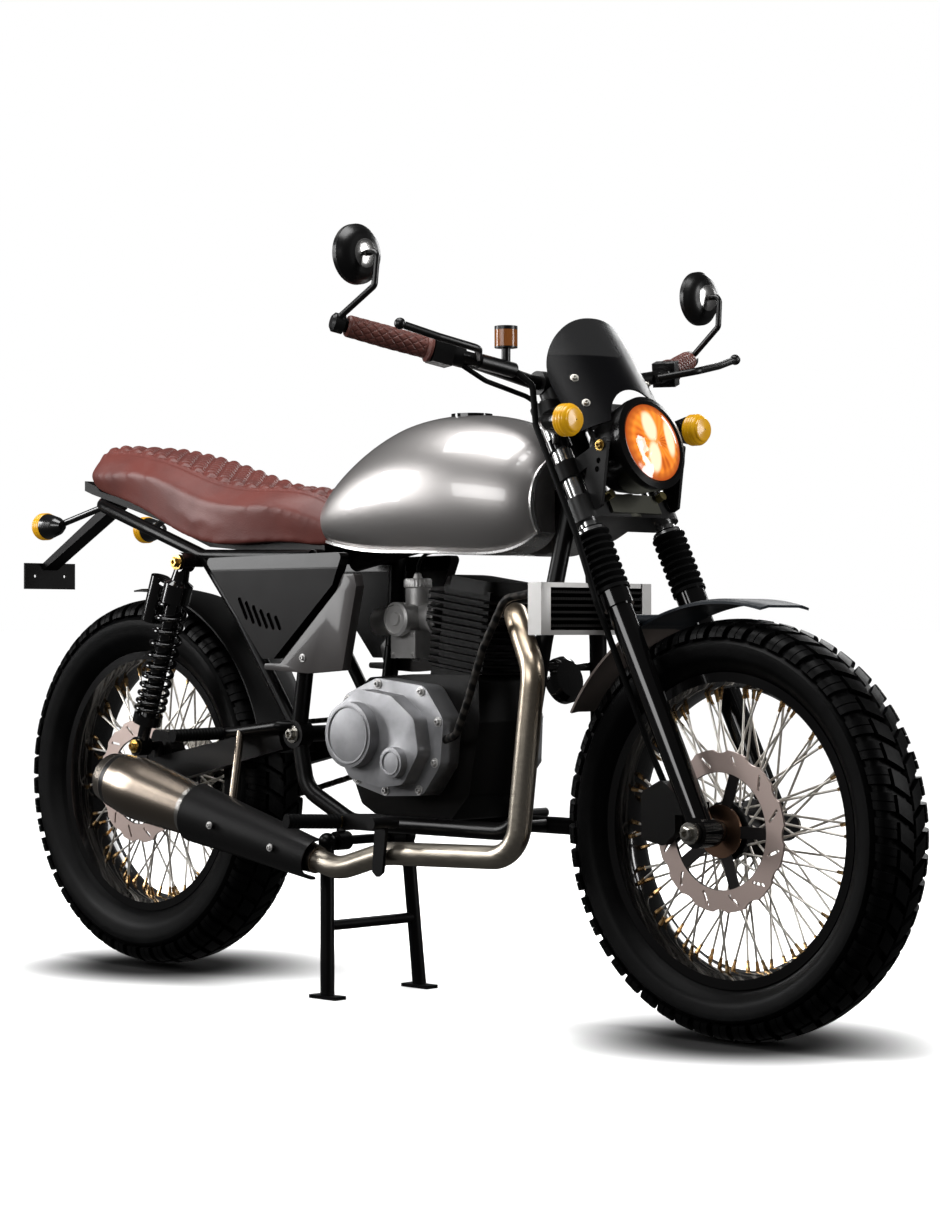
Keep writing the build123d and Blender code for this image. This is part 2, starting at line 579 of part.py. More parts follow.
# Lamp brackets: clamp rings, plates to the lamp's sides and stays to the screen
ear = lamp_at - lamp_dir * 26
stay_y = 92.0
STAY_R = 4.5
screen_in = SCREEN_BEND_R - SCREEN_T
screen_sag = (screen_in ** 2 - stay_y ** 2) ** 0.5
stay_in = SCREEN_BEND_R - screen_sag + (STAY_R + GAP) * screen_in / screen_sag
stay_end = screen_at + lean_up * 46 - lean_out * stay_in
with BuildPart() as lamp_brackets:
    for side in (1, -1):
        post = fork(LAMP_S, FORK_OFFSET, side * FORK_HALF)
        y_near = side * (FORK_HALF - 3)
        y_far = side * (FORK_HALF + 3)
        with Locations(fork_plane(LAMP_S - 14, FORK_OFFSET, side * FORK_HALF)):
            Cylinder(TUBE_R + 5, 28, align=AXIAL)
        plate = [(post.X, post.Z + 12), (ear.X + 8, ear.Z + 12), (ear.X + 12, ear.Z - 14), (post.X, post.Z - 14)]
        add(slab(plate, min(y_near, y_far), max(y_near, y_far)))
        foot_front = fork(LOWER_YOKE_S + 10, YOKE_FRONT + 15)
        foot_back = fork(LOWER_YOKE_S + 10, YOKE_FRONT + GAP)
        knee = fork(LOWER_YOKE_S + LOWER_YOKE_T + 20, YOKE_FRONT + GAP)
        leg = [(ear.X - 14, ear.Z + 12), (ear.X + 15, ear.Z + 6), (foot_front.X, foot_front.Z), (foot_back.X, foot_back.Z),
               (knee.X, knee.Z)]
        add(slab(leg, min(y_near, y_far), max(y_near, y_far), 3))
        for share in (0.32, 0.5):
            spot = Vector(ear.X + 2, 0, ear.Z) * (1 - share) + (foot_front + knee) * (0.5 * share)
            with BuildSketch(side_plane(side * FORK_HALF + 6, spot.X, spot.Z)):
                Circle(4.5)
            extrude(amount=12, mode=Mode.SUBTRACT)
        add(rod((ear.X, side * (LAMP_R - 1), ear.Z), (ear.X, side * FORK_HALF, ear.Z), 7))
        add(rod((ear.X - 8, side * FORK_HALF, ear.Z), (stay_end.X, side * stay_y, stay_end.Z), STAY_R))
        with Locations(fork_plane(LAMP_S - 60, FORK_OFFSET, side * FORK_HALF)):
            Cylinder(TUBE_R + RUN, 160, align=AXIAL, mode=Mode.SUBTRACT)
keep(lamp_brackets.part, "lamp_brackets")

# Indicators: bullet on a stalk from a ring on the fork tube
INDICATOR = (491.0, 152.0, 939.0)
INDICATOR_R = 24.0
bullet = (
    (0, -62), (9, -60), (17, -46), (INDICATOR_R - 2, -26), (INDICATOR_R, -16), (INDICATOR_R, 0),
    (INDICATOR_R * 0.7, 9), (0, 12),
)
RING_S = 655.0
with BuildPart() as front_indicators:
    for side in (1, -1):
        tip = Vector(INDICATOR[0], side * INDICATOR[1], INDICATOR[2])
        add(turned(bullet, tip, (1, 0, 0)))
        add(rod(fork(RING_S, FORK_OFFSET, side * (FORK_HALF + 8)), tip - Vector(38, side * 12, 2), 6))
        with Locations(fork_plane(RING_S - 9, FORK_OFFSET, side * FORK_HALF)):
            Cylinder(TUBE_R + 4, 18, align=AXIAL)
        with Locations(fork_plane(RING_S - 60, FORK_OFFSET, side * FORK_HALF)):
            Cylinder(TUBE_R + RUN, 160, align=AXIAL, mode=Mode.SUBTRACT)
keep(front_indicators.part, "front_indicators")

# Handlebar, grips, bar-end mirrors
GRIP_IN = (316.0, -280.0, 1050.0)
GRIP_OUT = (256.0, -400.0, 1081.0)
reach = (Vector(*GRIP_OUT) - Vector(*GRIP_IN)).normalized()
elbow = Vector(*GRIP_IN) - reach * 45
bar_end = Vector(*GRIP_OUT) + reach * 5
right_bar = [bar_middle - Vector(0, 70, 0), elbow, bar_end]
bar_points = [tuple(p) for p in reversed(right_bar)]
bar_path = bar_points + [flip(p) for p in reversed(bar_points)]
with BuildPart() as handlebar:
    add(pipe(bar_path, BAR_R, 60))
keep(handlebar.part, "handlebar")

grip_len = (Vector(*GRIP_OUT) - Vector(*GRIP_IN)).length
grip_profile = (
    (BAR_R + RUN, 0), (GRIP_R + 5, 0), (GRIP_R + 5, 5), (GRIP_R, 9), (GRIP_R + 1, grip_len * 0.5), (GRIP_R, grip_len - 3),
    (GRIP_R - 2, grip_len), (BAR_R + RUN, grip_len),
)
with BuildPart() as grips:
    add(turned(grip_profile, GRIP_IN, reach))
    mirror(about=Plane.XZ)
keep(grips.part, "grips")

MIRROR_AT = (284.0, -402.0, 1187.0)
mirror_elbow = (322.0, -404.0, 1136.0)
mirror_tip = (326.0, -402.0, 1187.0)
mirror_face = ((0, -20), (14, -20), (MIRROR_R - 10, -12), (MIRROR_R, 0), (MIRROR_R, 8), (0, 8))
arm_root = bar_end + reach * 15
with BuildPart() as mirrors:
    add(turned(((0, GAP), (15, GAP), (15, 16), (10, 20), (0, 20)), bar_end, reach))
    add(pipe([tuple(arm_root), mirror_elbow, mirror_tip, tuple(Vector(*MIRROR_AT) + Vector(4, 0, 0))], 5, 9))
    add(turned(mirror_face, MIRROR_AT, (-1, 0, 0)))
    mirror(about=Plane.XZ)
keep(mirrors.part, "mirrors")

# Hand controls: switch housing, perch with its lever, and the brake's fluid cup on the right
switch_at = Vector(*GRIP_IN) - reach * 34
LEVER = ((352.0, -212.0, 1034.0), (398.0, -258.0, 1046.0), (384.0, -330.0, 1060.0), (367.0, -394.0, 1076.0))
CUP = (352.0, -150.0, 1058.0)
with BuildPart() as hand_controls:
    with Locations(Plane(origin=switch_at, z_dir=reach)):
        Box(38, 40, 32, align=AXIAL)
    with Locations(Plane(origin=switch_at - reach * 20, z_dir=reach)):
        Cylinder(16, 21, align=AXIAL)
    add(rod(tuple(switch_at - reach * 10 + Vector(8, 0, 0)), LEVER[0], 10))
    add(pipe(LEVER, 6, 18))
    with Locations(LEVER[-1]):
        Sphere(9)
    mirror(about=Plane.XZ)
    add(rod(LEVER[0], (356, -138, 1024), 12))
    add(rod((CUP[0], CUP[1], 1026), CUP, 7))
    add(rod(CUP, (CUP[0], CUP[1], CUP[2] + 34), 18))
    add(pipe(bar_path, BAR_R + RUN, 60), mode=Mode.SUBTRACT)
keep(hand_controls.part, "hand_controls")

# Instrument on the upper yoke
with BuildPart() as instrument:
    with Locations(fork_plane(UPPER_YOKE_S + UPPER_YOKE_T, 58)):
        Cylinder(20, 14, align=AXIAL)
    with Locations(fork_plane(UPPER_YOKE_S + UPPER_YOKE_T + 14, 82)):
        Cylinder(38, 40, align=AXIAL)
keep(instrument.part, "instrument")

# Brake calipers straddle their discs, each on a plate to the leg or arm beside it
PAD_GAP = 1.0
CALIPER_DEPTH = 30.0


def caliper(body, lug, y_out, axle, disc_y, disc_r):
    """Block with a slot for the disc, and a mounting plate on its outer side."""
    with BuildPart() as piece:
        add(slab(body, y_out, y_out + CALIPER_DEPTH, 10))
        add(slab(lug, y_out, y_out + 6))
        with BuildSketch(side_plane(disc_y + DISC_T / 2 + PAD_GAP, axle.X, axle.Z)):
            Circle(disc_r + 5)
        extrude(amount=DISC_T + 2 * PAD_GAP, mode=Mode.SUBTRACT)
    return piece.part


body = ((560, 300), (560, 372), (600, 392), (628, 372), (628, 312), (604, 292))
lug = ((600, 340), (600, 372), (690, 362), (690, 340))
keep(caliper(body, lug, -inner + GAP, FRONT_AXLE, FRONT_DISC_Y, FRONT_DISC_R), "front_caliper")
body = ((-610, 396), (-590, 440), (-550, 436), (-536, 402), (-560, 372))
lug = ((-606, 345), (-606, 400), (-556, 400), (-556, 345))
keep(caliper(body, lug, -ARM_IN + GAP, REAR_AXLE, REAR_DISC_Y, REAR_DISC_R), "rear_caliper")

# Shocks: body, top and bottom eyes and a side reservoir; the spring is a ribbed sleeve round it
shock_top = Vector(SHOCK_TOP[0], 0, SHOCK_TOP[1])
shock_low = Vector(SHOCK_LOW[0], 0, SHOCK_LOW[1])
shock_dir = (shock_top - shock_low).normalized()
shock_len = (shock_top - shock_low).length
SPRING_R = 29.0
SPRING_FROM = 62.0
SPRING_TO = shock_len - 74
behind = Vector(shock_dir.Z, 0, -shock_dir.X) * -1
strut = (
    (0, 0), (11, 0), (11, 40), (26, 44), (26, SPRING_FROM - GAP), (15, SPRING_FROM - GAP), (15, SPRING_TO + GAP),
    (26, SPRING_TO + GAP), (26, shock_len - 40), (16, shock_len - 34), (12, shock_len), (0, shock_len),
)
with BuildPart() as shocks:
    for side in (1, -1):
        low = shock_low + Vector(0, side * SHOCK_Y, 0)
        add(turned(strut, low, shock_dir))
        for eye in (low, low + shock_dir * shock_len):
            add(rod(eye - Vector(0, 13, 0), eye + Vector(0, 13, 0), 17))
        can = low + shock_dir * (shock_len - 128) + behind * 52
        add(rod(can, can + shock_dir * 84, 17))
        add(rod(can + shock_dir * 74, low + shock_dir * (shock_len - 54), 11))
        for eye in (low, low + shock_dir * shock_len):
            add(rod(eye - Vector(0, 60, 0), eye + Vector(0, 60, 0), PIN_R + RUN), mode=Mode.SUBTRACT)
keep(shocks.part, "shocks")

COILS = 9
coil = (SPRING_TO - SPRING_FROM) / COILS
sleeve = [(16, SPRING_FROM), (SPRING_R - 5, SPRING_FROM)]
for turn in range(COILS):
    sleeve += [(SPRING_R, SPRING_FROM + coil * (turn + 0.3)), (SPRING_R, SPRING_FROM + coil * (turn + 0.7))]
    sleeve += [(SPRING_R - 5, SPRING_FROM + coil * (turn + 1))]
sleeve += [(16, SPRING_TO)]
with BuildPart() as shock_springs:
    for side in (1, -1):
        add(turned(sleeve, shock_low + Vector(0, side * SHOCK_Y, 0), shock_dir))
keep(shock_springs.part, "shock_springs")

# Engine: crankcase, side covers, finned barrel and head, carburettor
CASE_HALF = 70.0
CASE_TOP = 546.0
case_low = CRADLE_Z + 10 + GAP
CASE_OUTLINE = (
    (-95, 400), (-60, case_low + 20), (-20, case_low), (150, case_low), (192, 350), (216, 470), (214, CASE_TOP),
    (60, CASE_TOP), (-40, 540), (-95, 500),
)
with BuildPart() as crankcase:
    add(slab(CASE_OUTLINE, -CASE_HALF, CASE_HALF, 14))
    with BuildSketch(side_plane(CHAIN_Y + 4, *FRONT_SPROCKET)):
        Circle(FRONT_SPROCKET_R - CHAIN_H / 2 - GAP)
    extrude(amount=CHAIN_Y + 4 - CASE_HALF + 5)
keep(crankcase.part, "crankcase")

CLUTCH_AT = (3.0, 447.0)
CLUTCH_R = 54.0
CAP_AT = (98.0, 404.0)
clutch_outline = ((-74, 420), (-34, 364), (40, 346), (128, 350), (168, 400), (176, 474), (132, 528), (20, 540), (-60, 510))
generator_outline = ((10, 380), (56, 346), (142, 350), (184, 400), (188, 480), (146, 524), (56, 524), (10, 490))
with BuildPart() as engine_covers:
    add(slab(clutch_outline, -CASE_HALF, -CASE_HALF - 42, 24))
    bulge = ((-52, 430), (-14, 376), (60, 362), (112, 368), (148, 420), (138, 476), (84, 512), (8, 522), (-48, 490))
    add(slab(bulge, -CASE_HALF - 40, -CASE_HALF - 72, 22))
    with BuildSketch(side_plane(-CASE_HALF - 40, *CLUTCH_AT)):
        Circle(CLUTCH_R)
    extrude(amount=52)
    with BuildSketch(side_plane(-CASE_HALF - 40, *CAP_AT)):
        Circle(25)
    extrude(amount=46)
    add(slab(generator_outline, CASE_HALF, CASE_HALF + 40, 24))
    with BuildSketch(side_plane(CASE_HALF + 62, 98, 434)):
        Circle(66)
    extrude(amount=24)
keep(engine_covers.part, "engine_covers")

BARREL_AT = (150.0, 0.0, CASE_TOP)
BARREL_LEAN = 8.0
barrel_up = Vector(sin(radians(BARREL_LEAN)), 0, cos(radians(BARREL_LEAN)))
FIN_T = 3.0
STUB = 92.0
HEADER_R = 19.0
HEADER_BEND = 56.0
FIN_PITCH = 11.5
FINS = 11
with BuildPart() as cylinder:
    def barrel_plane(height):
        return Plane(origin=Vector(*BARREL_AT) + barrel_up * height, x_dir=(cos(radians(BARREL_LEAN)), 0,
                     -sin(radians(BARREL_LEAN))), z_dir=barrel_up)
    with Locations(barrel_plane(3)):
        Box(104, 100, FINS * FIN_PITCH + 12, align=AXIAL)
    for fin in range(FINS):
        width = 150 if fin < 6 else 168
        depth = 136 if fin < 6 else 150
        with BuildSketch(barrel_plane(10 + fin * FIN_PITCH)) as plate:
            Rectangle(width, depth)
            chamfer(plate.vertices(), 20)
        extrude(amount=FIN_T)
    with BuildSketch(barrel_plane(FINS * FIN_PITCH + 10)) as cover:
        Rectangle(112, 104)
        fillet(cover.vertices(), 20)
    extrude(amount=22, taper=12)
    with Locations(barrel_plane(-12)):
        Box(120, 112, 18, align=AXIAL)
    PORT = Vector(*BARREL_AT) + barrel_up * 96
    add(rod(PORT - Vector(0, 10, 0), PORT - Vector(STUB, 10, 0), 22))
    add(rod(PORT + Vector(0, -20, -2), PORT + Vector(STUB, -20, -2), HEADER_R + 4))
    add(slab(((0, 400), (300, 400), (300, CASE_TOP), (0, CASE_TOP)), -80, 80), mode=Mode.SUBTRACT)
keep(cylinder.part, "cylinder")

with BuildPart() as carburettor:
    mouth = PORT - Vector(STUB + GAP, 10, 0)
    throat = mouth - Vector(58, 0, 4)
    add(rod(mouth - Vector(150, 0, 8), mouth, 24))
    add(rod(throat - Vector(0, 46, 0), throat + Vector(0, 40, 0), 26))
    with Locations((throat.X, throat.Y - 4, throat.Z - 42)):
        Box(58, 62, 46)
    add(rod(throat, throat + Vector(0, 0, 62), 21))
    with Locations((mouth.X, 0, mouth.Z)):
        Box(40, 200, 200, align=(Align.MIN, Align.CENTER, Align.CENTER), mode=Mode.SUBTRACT)
keep(carburettor.part, "carburettor")

# Oil cooler: tanks, bars and flat tubes on two lugs to the downtubes, and its hose to the clutch cover
OIL_HOSE_R = 6.5
OIL_HOSE = ((390, -119, 678), (330, -130, 668), (280, -128, 590), (240, -124, 500), (205, -112, 450), (150, -98, 436))
COOLER_AT = (394.0, 652.0)
COOLER_W = 130.0
COOLER_H = 82.0
with BuildPart() as oil_cooler:
    for side in (1, -1):
        with Locations((COOLER_AT[0], side * (COOLER_W - 11), COOLER_AT[1])):
            Box(28, 22, COOLER_H)
        add(rod((COOLER_AT[0] - 8, side * 48, 664), (358, side * 48, 664), 6))
    rows = 8
    for row in range(rows):
        height = COOLER_AT[1] - COOLER_H / 2 + 4 + (COOLER_H - 8) * row / (rows - 1)
        with Locations((COOLER_AT[0], 0, height)):
            Box(24, 2 * COOLER_W - 20, 8 if row in (0, rows - 1) else 4)
    with Locations((COOLER_AT[0], 0, COOLER_AT[1])):
        Box(14, 2 * COOLER_W - 20, COOLER_H - 4)
    add(pipe(OIL_HOSE, OIL_HOSE_R, 30))
    add(frame.part, mode=Mode.SUBTRACT)
    add(engine_covers.part, mode=Mode.SUBTRACT)
keep(oil_cooler.part, "oil_cooler")

HORN_AT = (342.0, 0.0, 540.0)
with BuildPart() as horn:
    add(turned(((0, -22), (28, -22), (38, -12), (38, 0), (30, 8), (0, 8)), HORN_AT, (0.97, 0, 0.24)))
    add(rod((HORN_AT[0] - 4, -66, 560), (HORN_AT[0] - 4, 66, 560), 7))
    add(frame.part, mode=Mode.SUBTRACT)
keep(horn.part, "horn")

# Exhaust: header, muffler with its end cap and bore, and the shield over the front of it
MUFFLER_IN = Vector(-46, -182, 240)
MUFFLER_OUT = Vector(-566, -202, 358)
muffler_dir = (MUFFLER_OUT - MUFFLER_IN).normalized()
muffler_len = (MUFFLER_OUT - MUFFLER_IN).length
header_path = (
    tuple(PORT + Vector(STUB + GAP, -20, -2)), (308, -84, 646), (384, -121, 556), (350, -124, 262), (76, -146, 256),
    tuple(MUFFLER_IN - muffler_dir * 52), tuple(MUFFLER_IN),
)
with BuildPart() as exhaust_pipe:
    add(pipe(header_path, HEADER_R, HEADER_BEND))
    with Locations((header_path[0][0], 0, header_path[0][2])):
        Box(60, 200, 100, align=(Align.MAX, Align.CENTER, Align.CENTER), mode=Mode.SUBTRACT)
keep(exhaust_pipe.part, "exhaust_pipe")

CAN_R = 54.0
can_profile = (
    (0, GAP), (HEADER_R + 4, GAP), (HEADER_R + 8, 40), (36, 190), (44, 300), (CAN_R, 440), (CAN_R, 466), (CAN_R - 5, 508),
    (CAN_R - 10, muffler_len), (32, muffler_len - 6), (32, muffler_len - 70), (0, muffler_len - 70),
)
with BuildPart() as muffler:
    add(turned(can_profile, MUFFLER_IN, muffler_dir))
    add(rod(MUFFLER_IN + muffler_dir * 240 + Vector(0, 20, 10), (-300, -131, 444), 7))
    add(frame.part, mode=Mode.SUBTRACT)
keep(muffler.part, "muffler")
shield_profile = (
    (HEADER_R + 12, 6), (41, 190), (49, 296), (52, 296), (45, 188), (HEADER_R + 16, 4),
)
with BuildPart() as heat_shield:
    across = Plane(origin=MUFFLER_IN, z_dir=muffler_dir)
    start = Vector(0, 0, 1) - muffler_dir * muffler_dir.Z
    start = start.normalized()
    with BuildSketch(Plane(origin=MUFFLER_IN, x_dir=start, z_dir=start.cross(muffler_dir))):
        with BuildLine():
            Polyline(*shield_profile, close=True)
        make_face()
    revolve(axis=Axis(MUFFLER_IN, muffler_dir), revolution_arc=-190)
    for step in (70, 210):
        seat_at = MUFFLER_IN + muffler_dir * step
        add(rod(seat_at + Vector(0, -(HEADER_R + 3 + step * 0.06), 4), seat_at + Vector(0, -(HEADER_R + 20 + step * 0.068), 4), 6))
    add(turned([(r + GAP, h) for r, h in can_profile[1:5]] + [(0, 300), (0, 2)], MUFFLER_IN, muffler_dir), mode=Mode.SUBTRACT)
keep(heat_shield.part, "heat_shield")

# Fuel tank over the backbone: arched sections, with a recess for the frame and the steering head
TANK_CROWN = 10.0
TANK_LOW_R = 10.0
TANK_TOP_R = 34.0
SEAM_OUT = 8.0
SEAM_T = 4.0
TANK = (
    (-118, 92, 768, 112, 802, 46, 850),
    (-50, 104, 756, 130, 815, 54, 924),
    (70, 108, 747, 140, 825, 60, 969),
    (190, 104, 743, 137, 828, 58, 969),
    (290, 84, 745, 110, 832, 50, 940),
    (338, 56, 774, 70, 838, 36, 896),
)


def arched(row):
    """Tank section: flat foot, one arc for each side and a crowned top, its corners rounded.

    Columns: x, half width and height of the foot, the side's middle and the top.
    """
    x, low_w, low_z, mid_w, mid_z, top_w, top_z = row
    edge_z = top_z - TANK_CROWN
    with BuildSketch(Plane(origin=(x, 0, 0), x_dir=(0, 1, 0), z_dir=(1, 0, 0))) as section:
        with BuildLine():
            Line((-low_w, low_z), (low_w, low_z))
            ThreePointArc((low_w, low_z), (mid_w, mid_z), (top_w, edge_z))
            ThreePointArc((top_w, edge_z), (0, top_z), (-top_w, edge_z))
            ThreePointArc((-top_w, edge_z), (-mid_w, mid_z), (-low_w, low_z))
        make_face()
        for level, size in ((low_z, TANK_LOW_R), (edge_z, TANK_TOP_R)):
            fillet([v for v in section.vertices() if abs(v.Z - level) < 0.01], size)
    return section.sketch


with BuildPart() as tank_recess:
    top = [(p[0], p[2] + BACKBONE_R * 1.02 + GAP) for p in (tuple(backbone[0]), backbone[1])]
    add(slab((top[0], top[1], (top[1][0], 700), (top[0][0], 700)), -BACKBONE_R - CLEAR, BACKBONE_R + CLEAR))
    with Locations(fork_plane(540)):
        Cylinder(HEAD_R + CLEAR + 4, 260, align=AXIAL)

with BuildPart() as fuel_tank:
    loft([arched(row) for row in TANK])
    add(tank_recess.part, mode=Mode.SUBTRACT)
keep(fuel_tank.part, "fuel_tank")

# Rolled seam round the tank's foot and up its front
with BuildPart() as tank_seam:
    for x, low_w, low_z, mid_w, mid_z, top_w, top_z in TANK:
        with BuildSketch(Plane(origin=(x, 0, low_z), x_dir=(0, 1, 0), z_dir=(1, 0, 0))):
            Rectangle(2 * (low_w + SEAM_OUT), SEAM_T)
    loft()
    with BuildSketch(Plane(origin=(TANK[-1][0] - SEAM_T, 0, 0), x_dir=(0, 1, 0), z_dir=(1, 0, 0))):
        x, low_w, low_z, mid_w, mid_z, top_w, top_z = TANK[-1]
        with BuildLine():
            Line((-low_w - SEAM_OUT, low_z), (low_w + SEAM_OUT, low_z))
            ThreePointArc((low_w + SEAM_OUT, low_z), (mid_w + SEAM_OUT, mid_z), (top_w + SEAM_OUT, top_z - TANK_CROWN))
            ThreePointArc((top_w + SEAM_OUT, top_z - TANK_CROWN), (0, top_z + SEAM_OUT), (-top_w - SEAM_OUT, top_z - TANK_CROWN))
            ThreePointArc((-top_w - SEAM_OUT, top_z - TANK_CROWN), (-mid_w - SEAM_OUT, mid_z), (-low_w - SEAM_OUT, low_z))
        make_face()
    extrude(amount=SEAM_T)
    add(fuel_tank.part, mode=Mode.SUBTRACT)
    add(tank_recess.part, mode=Mode.SUBTRACT)
keep(tank_seam.part, "tank_seam")

CAP_X = 130.0
with BuildPart() as filler_cap:
    with Locations(Plane(origin=(CAP_X, 0, 960), z_dir=(0, 0, 1))):
        Cylinder(34, 15, align=AXIAL)
    add(fuel_tank.part, mode=Mode.SUBTRACT)
keep(filler_cap.part, "filler_cap")

# Seat with a raised tail, on a pan that follows its underside
SEAT = (
    (-124, 80, 766, 88, 800, 50, 838),
    (-190, 96, 766, 110, 820, 62, 859),
    (-320, 116, 768, 127, 834, 74, 869),
    (-440, 122, 778, 130, 856, 78, 894),
    (-585, 112, 830, 125, 898, 76, 934),
    (-715, 92, 866, 112, 902, 70, 955),
    (-775, 72, 881, 92, 906, 58, 948),
    (-796, 54, 888, 70, 906, 42, 934),
)
with BuildPart() as seat:
    add(shell_loft(SEAT, (5, 10, 14)))
keep(seat.part, "seat")

# Side covers with slanted louvres, and the trims below them
COVER_IN = 120.0
COVER_OUT = 140.0
COVER = ((-388, 744), (-34, 748), (-58, 694), (-205, 570), (-234, 570))
TRIM = ((-8, 692), (-42, 552), (-128, 546), (-238, 552), (-238, 562), (-196, 562), (-58, 682), (-40, 712), (-14, 712))
BACKING = ((-48, 560), (-200, 560), (-210, 590), (-86, 694), (-34, 694))
LOUVRES = ((-284, 656, 44), (-266, 649, 44), (-248, 643, 42), (-230, 638, 38), (-212, 634, 33), (-194, 631, 28))
LOUVRE_W = 8.0
LOUVRE_LEAN = 120.0
with BuildPart() as side_covers:
    add(slab(COVER, -COVER_IN, -COVER_OUT, 8))
    add(rod((-158, -REAR_FRAME_Y - CRADLE_R - GAP, 652), (-158, -COVER_IN - 1, 652), 9))
    with BuildSketch(side_plane(-COVER_OUT + 5)):
        for x, z, length in LOUVRES:
            with Locations(Location((x, z, 0), (0, 0, LOUVRE_LEAN))):
                SlotOverall(length, LOUVRE_W)
    extrude(amount=10, mode=Mode.SUBTRACT)
    mirror(about=Plane.XZ)
keep(side_covers.part, "side_covers")

with BuildPart() as side_trims:
    add(slab(TRIM, -COVER_IN + 6, -COVER_IN - 12, 5))
    add(slab(BACKING, -COVER_IN + 5.5, -COVER_IN + GAP, 5))
    add(slab(COVER, -COVER_IN, -COVER_OUT - 5, 0), mode=Mode.SUBTRACT)
    mirror(about=Plane.XZ)
keep(side_trims.part, "side_trims")

# Tail: seat pan, and the arm with the blank plate holder
PAN = ((-140, 772), (-320, 774), (-440, 784), (-585, 836), (-715, 872), (-776, 888), (-800 + GAP, 896))
PLATE_Z = (698.0, 748.0)
PLATE_HALF = 60.0
PLATE_HOLE_HALF = 35.0
PLATE_HOLE_R = 3.2
tail_loop = -786 - RAIL_R - GAP
with BuildPart() as tail_bracket:
    add(slab(PAN + tuple((x, z - 18) for x, z in reversed(PAN)), -82, 82))
    add(seat.part, mode=Mode.SUBTRACT)
    add(slab(((tail_loop, 869), (tail_loop, 848), (TAIL_X + 3, 734), (TAIL_X + 3, 748)), -17, 17))
    with Locations((TAIL_X, 0, PLATE_Z[0])):
        Box(4, 2 * PLATE_HALF, PLATE_Z[1] - PLATE_Z[0], align=(Align.MIN, Align.CENTER, Align.MIN))
    for side in (1, -1):
        with Locations(Plane(origin=(TAIL_X - 10, side * PLATE_HOLE_HALF, (PLATE_Z[0] + PLATE_Z[1]) / 2), z_dir=(1, 0, 0))):
            Cylinder(PLATE_HOLE_R, 30, align=AXIAL, mode=Mode.SUBTRACT)
    add(frame.part, mode=Mode.SUBTRACT)
keep(tail_bracket.part, "tail_bracket")

# Rear lamps: tail lamp behind the seat and two bullets on stalks from the rear loop
REAR_BULLET = (-812.0, -120.0, 812.0)
with BuildPart() as rear_lamps:
    add(turned(bullet, tuple(Vector(*REAR_BULLET) + Vector(-66, 0, 0)), (-1, 0, 0)))
    add(rod((-735, -88, 846), tuple(Vector(*REAR_BULLET) + Vector(-26, 8, 2)), 6))
    mirror(about=Plane.XZ)
    with BuildSketch(side_plane(44)) as lamp_side:
        with BuildLine():
            Polyline((-800, 874), (-800, 898), (-822, 898), (-830, 884), (-822, 874), close=True)
        make_face()
    extrude(amount=88)
    add(frame.part, mode=Mode.SUBTRACT)
    add(seat.part, mode=Mode.SUBTRACT)
keep(rear_lamps.part, "rear_lamps")

# Foot pegs, brake pedal and gear lever
with BuildPart() as foot_pegs:
    add(rod((-16, -164 - GAP, CRADLE_Z + 6), (-40, -258, CRADLE_Z + 10), 12))
    add(rod((-345, -137 - GAP, 440), (-352, -240, 438), 11))
    add(frame.part, mode=Mode.SUBTRACT)
    mirror(about=Plane.XZ)
keep(foot_pegs.part, "foot_pegs")

ARM = ((-24, 316), (60, 320), (112, 316), (112, 300), (60, 296), (-24, 288))
with BuildPart() as foot_controls:
    for side, pad_r in ((1, 8), (-1, 10)):
        add(slab(ARM, side * 150, side * 158, 5))
        add(rod((104, side * 151, 308), (104, side * 206, 308), pad_r))
    add(slab(((86, 316), (112, 316), (102, 228), (90, 219), (78, 228)), -172, -178, 5))
    for side in (1, -1):
        add(rod((-15, side * CRADLE_Y, CRADLE_Z), (-15, side * 164, CRADLE_Z + 6), 9 + RUN), mode=Mode.SUBTRACT)
keep(foot_controls.part, "foot_controls")

# Brake hose and throttle cable, held all the way on the steered side
HOSE = (
    (358, -142, 1026), (384, -124, 1000), fork(690, 44, -126), fork(500, 44, -126), fork(390, 34, -124),
    fork(150, -14, -66), (598, -58, 384),
)
CABLE = (
    tuple(switch_at + Vector(3, 8, -10)), (352, -196, 1004), tuple(fork(BAR_S - 20, 12, -78)),
    tuple(fork(UPPER_YOKE_S + UPPER_YOKE_T - 10, 30, -64)),
)
with BuildPart() as control_cables:
    add(pipe([tuple(p) for p in HOSE], 5, 16))
    add(pipe(CABLE, 4, 16))
    for other in (hand_controls.part, yokes.part, handlebar.part):
        add(other, mode=Mode.SUBTRACT)
    add(caliper(((560, 300), (560, 372), (600, 392), (628, 372), (628, 312), (604, 292)), lug, -inner + GAP, FRONT_AXLE,
                FRONT_DISC_Y, FRONT_DISC_R), mode=Mode.SUBTRACT)
keep(control_cables.part, "control_cables")
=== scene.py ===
# %% [markdown]
# # A scrambler motorcycle in the studio
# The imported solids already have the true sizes, so the lesson starts from them. We load them,
# keep the box that they fill, and dress them: finishes first, then the pieces that a solid
# can't show, such as tread blocks, coil springs, quilting and laced nipples.

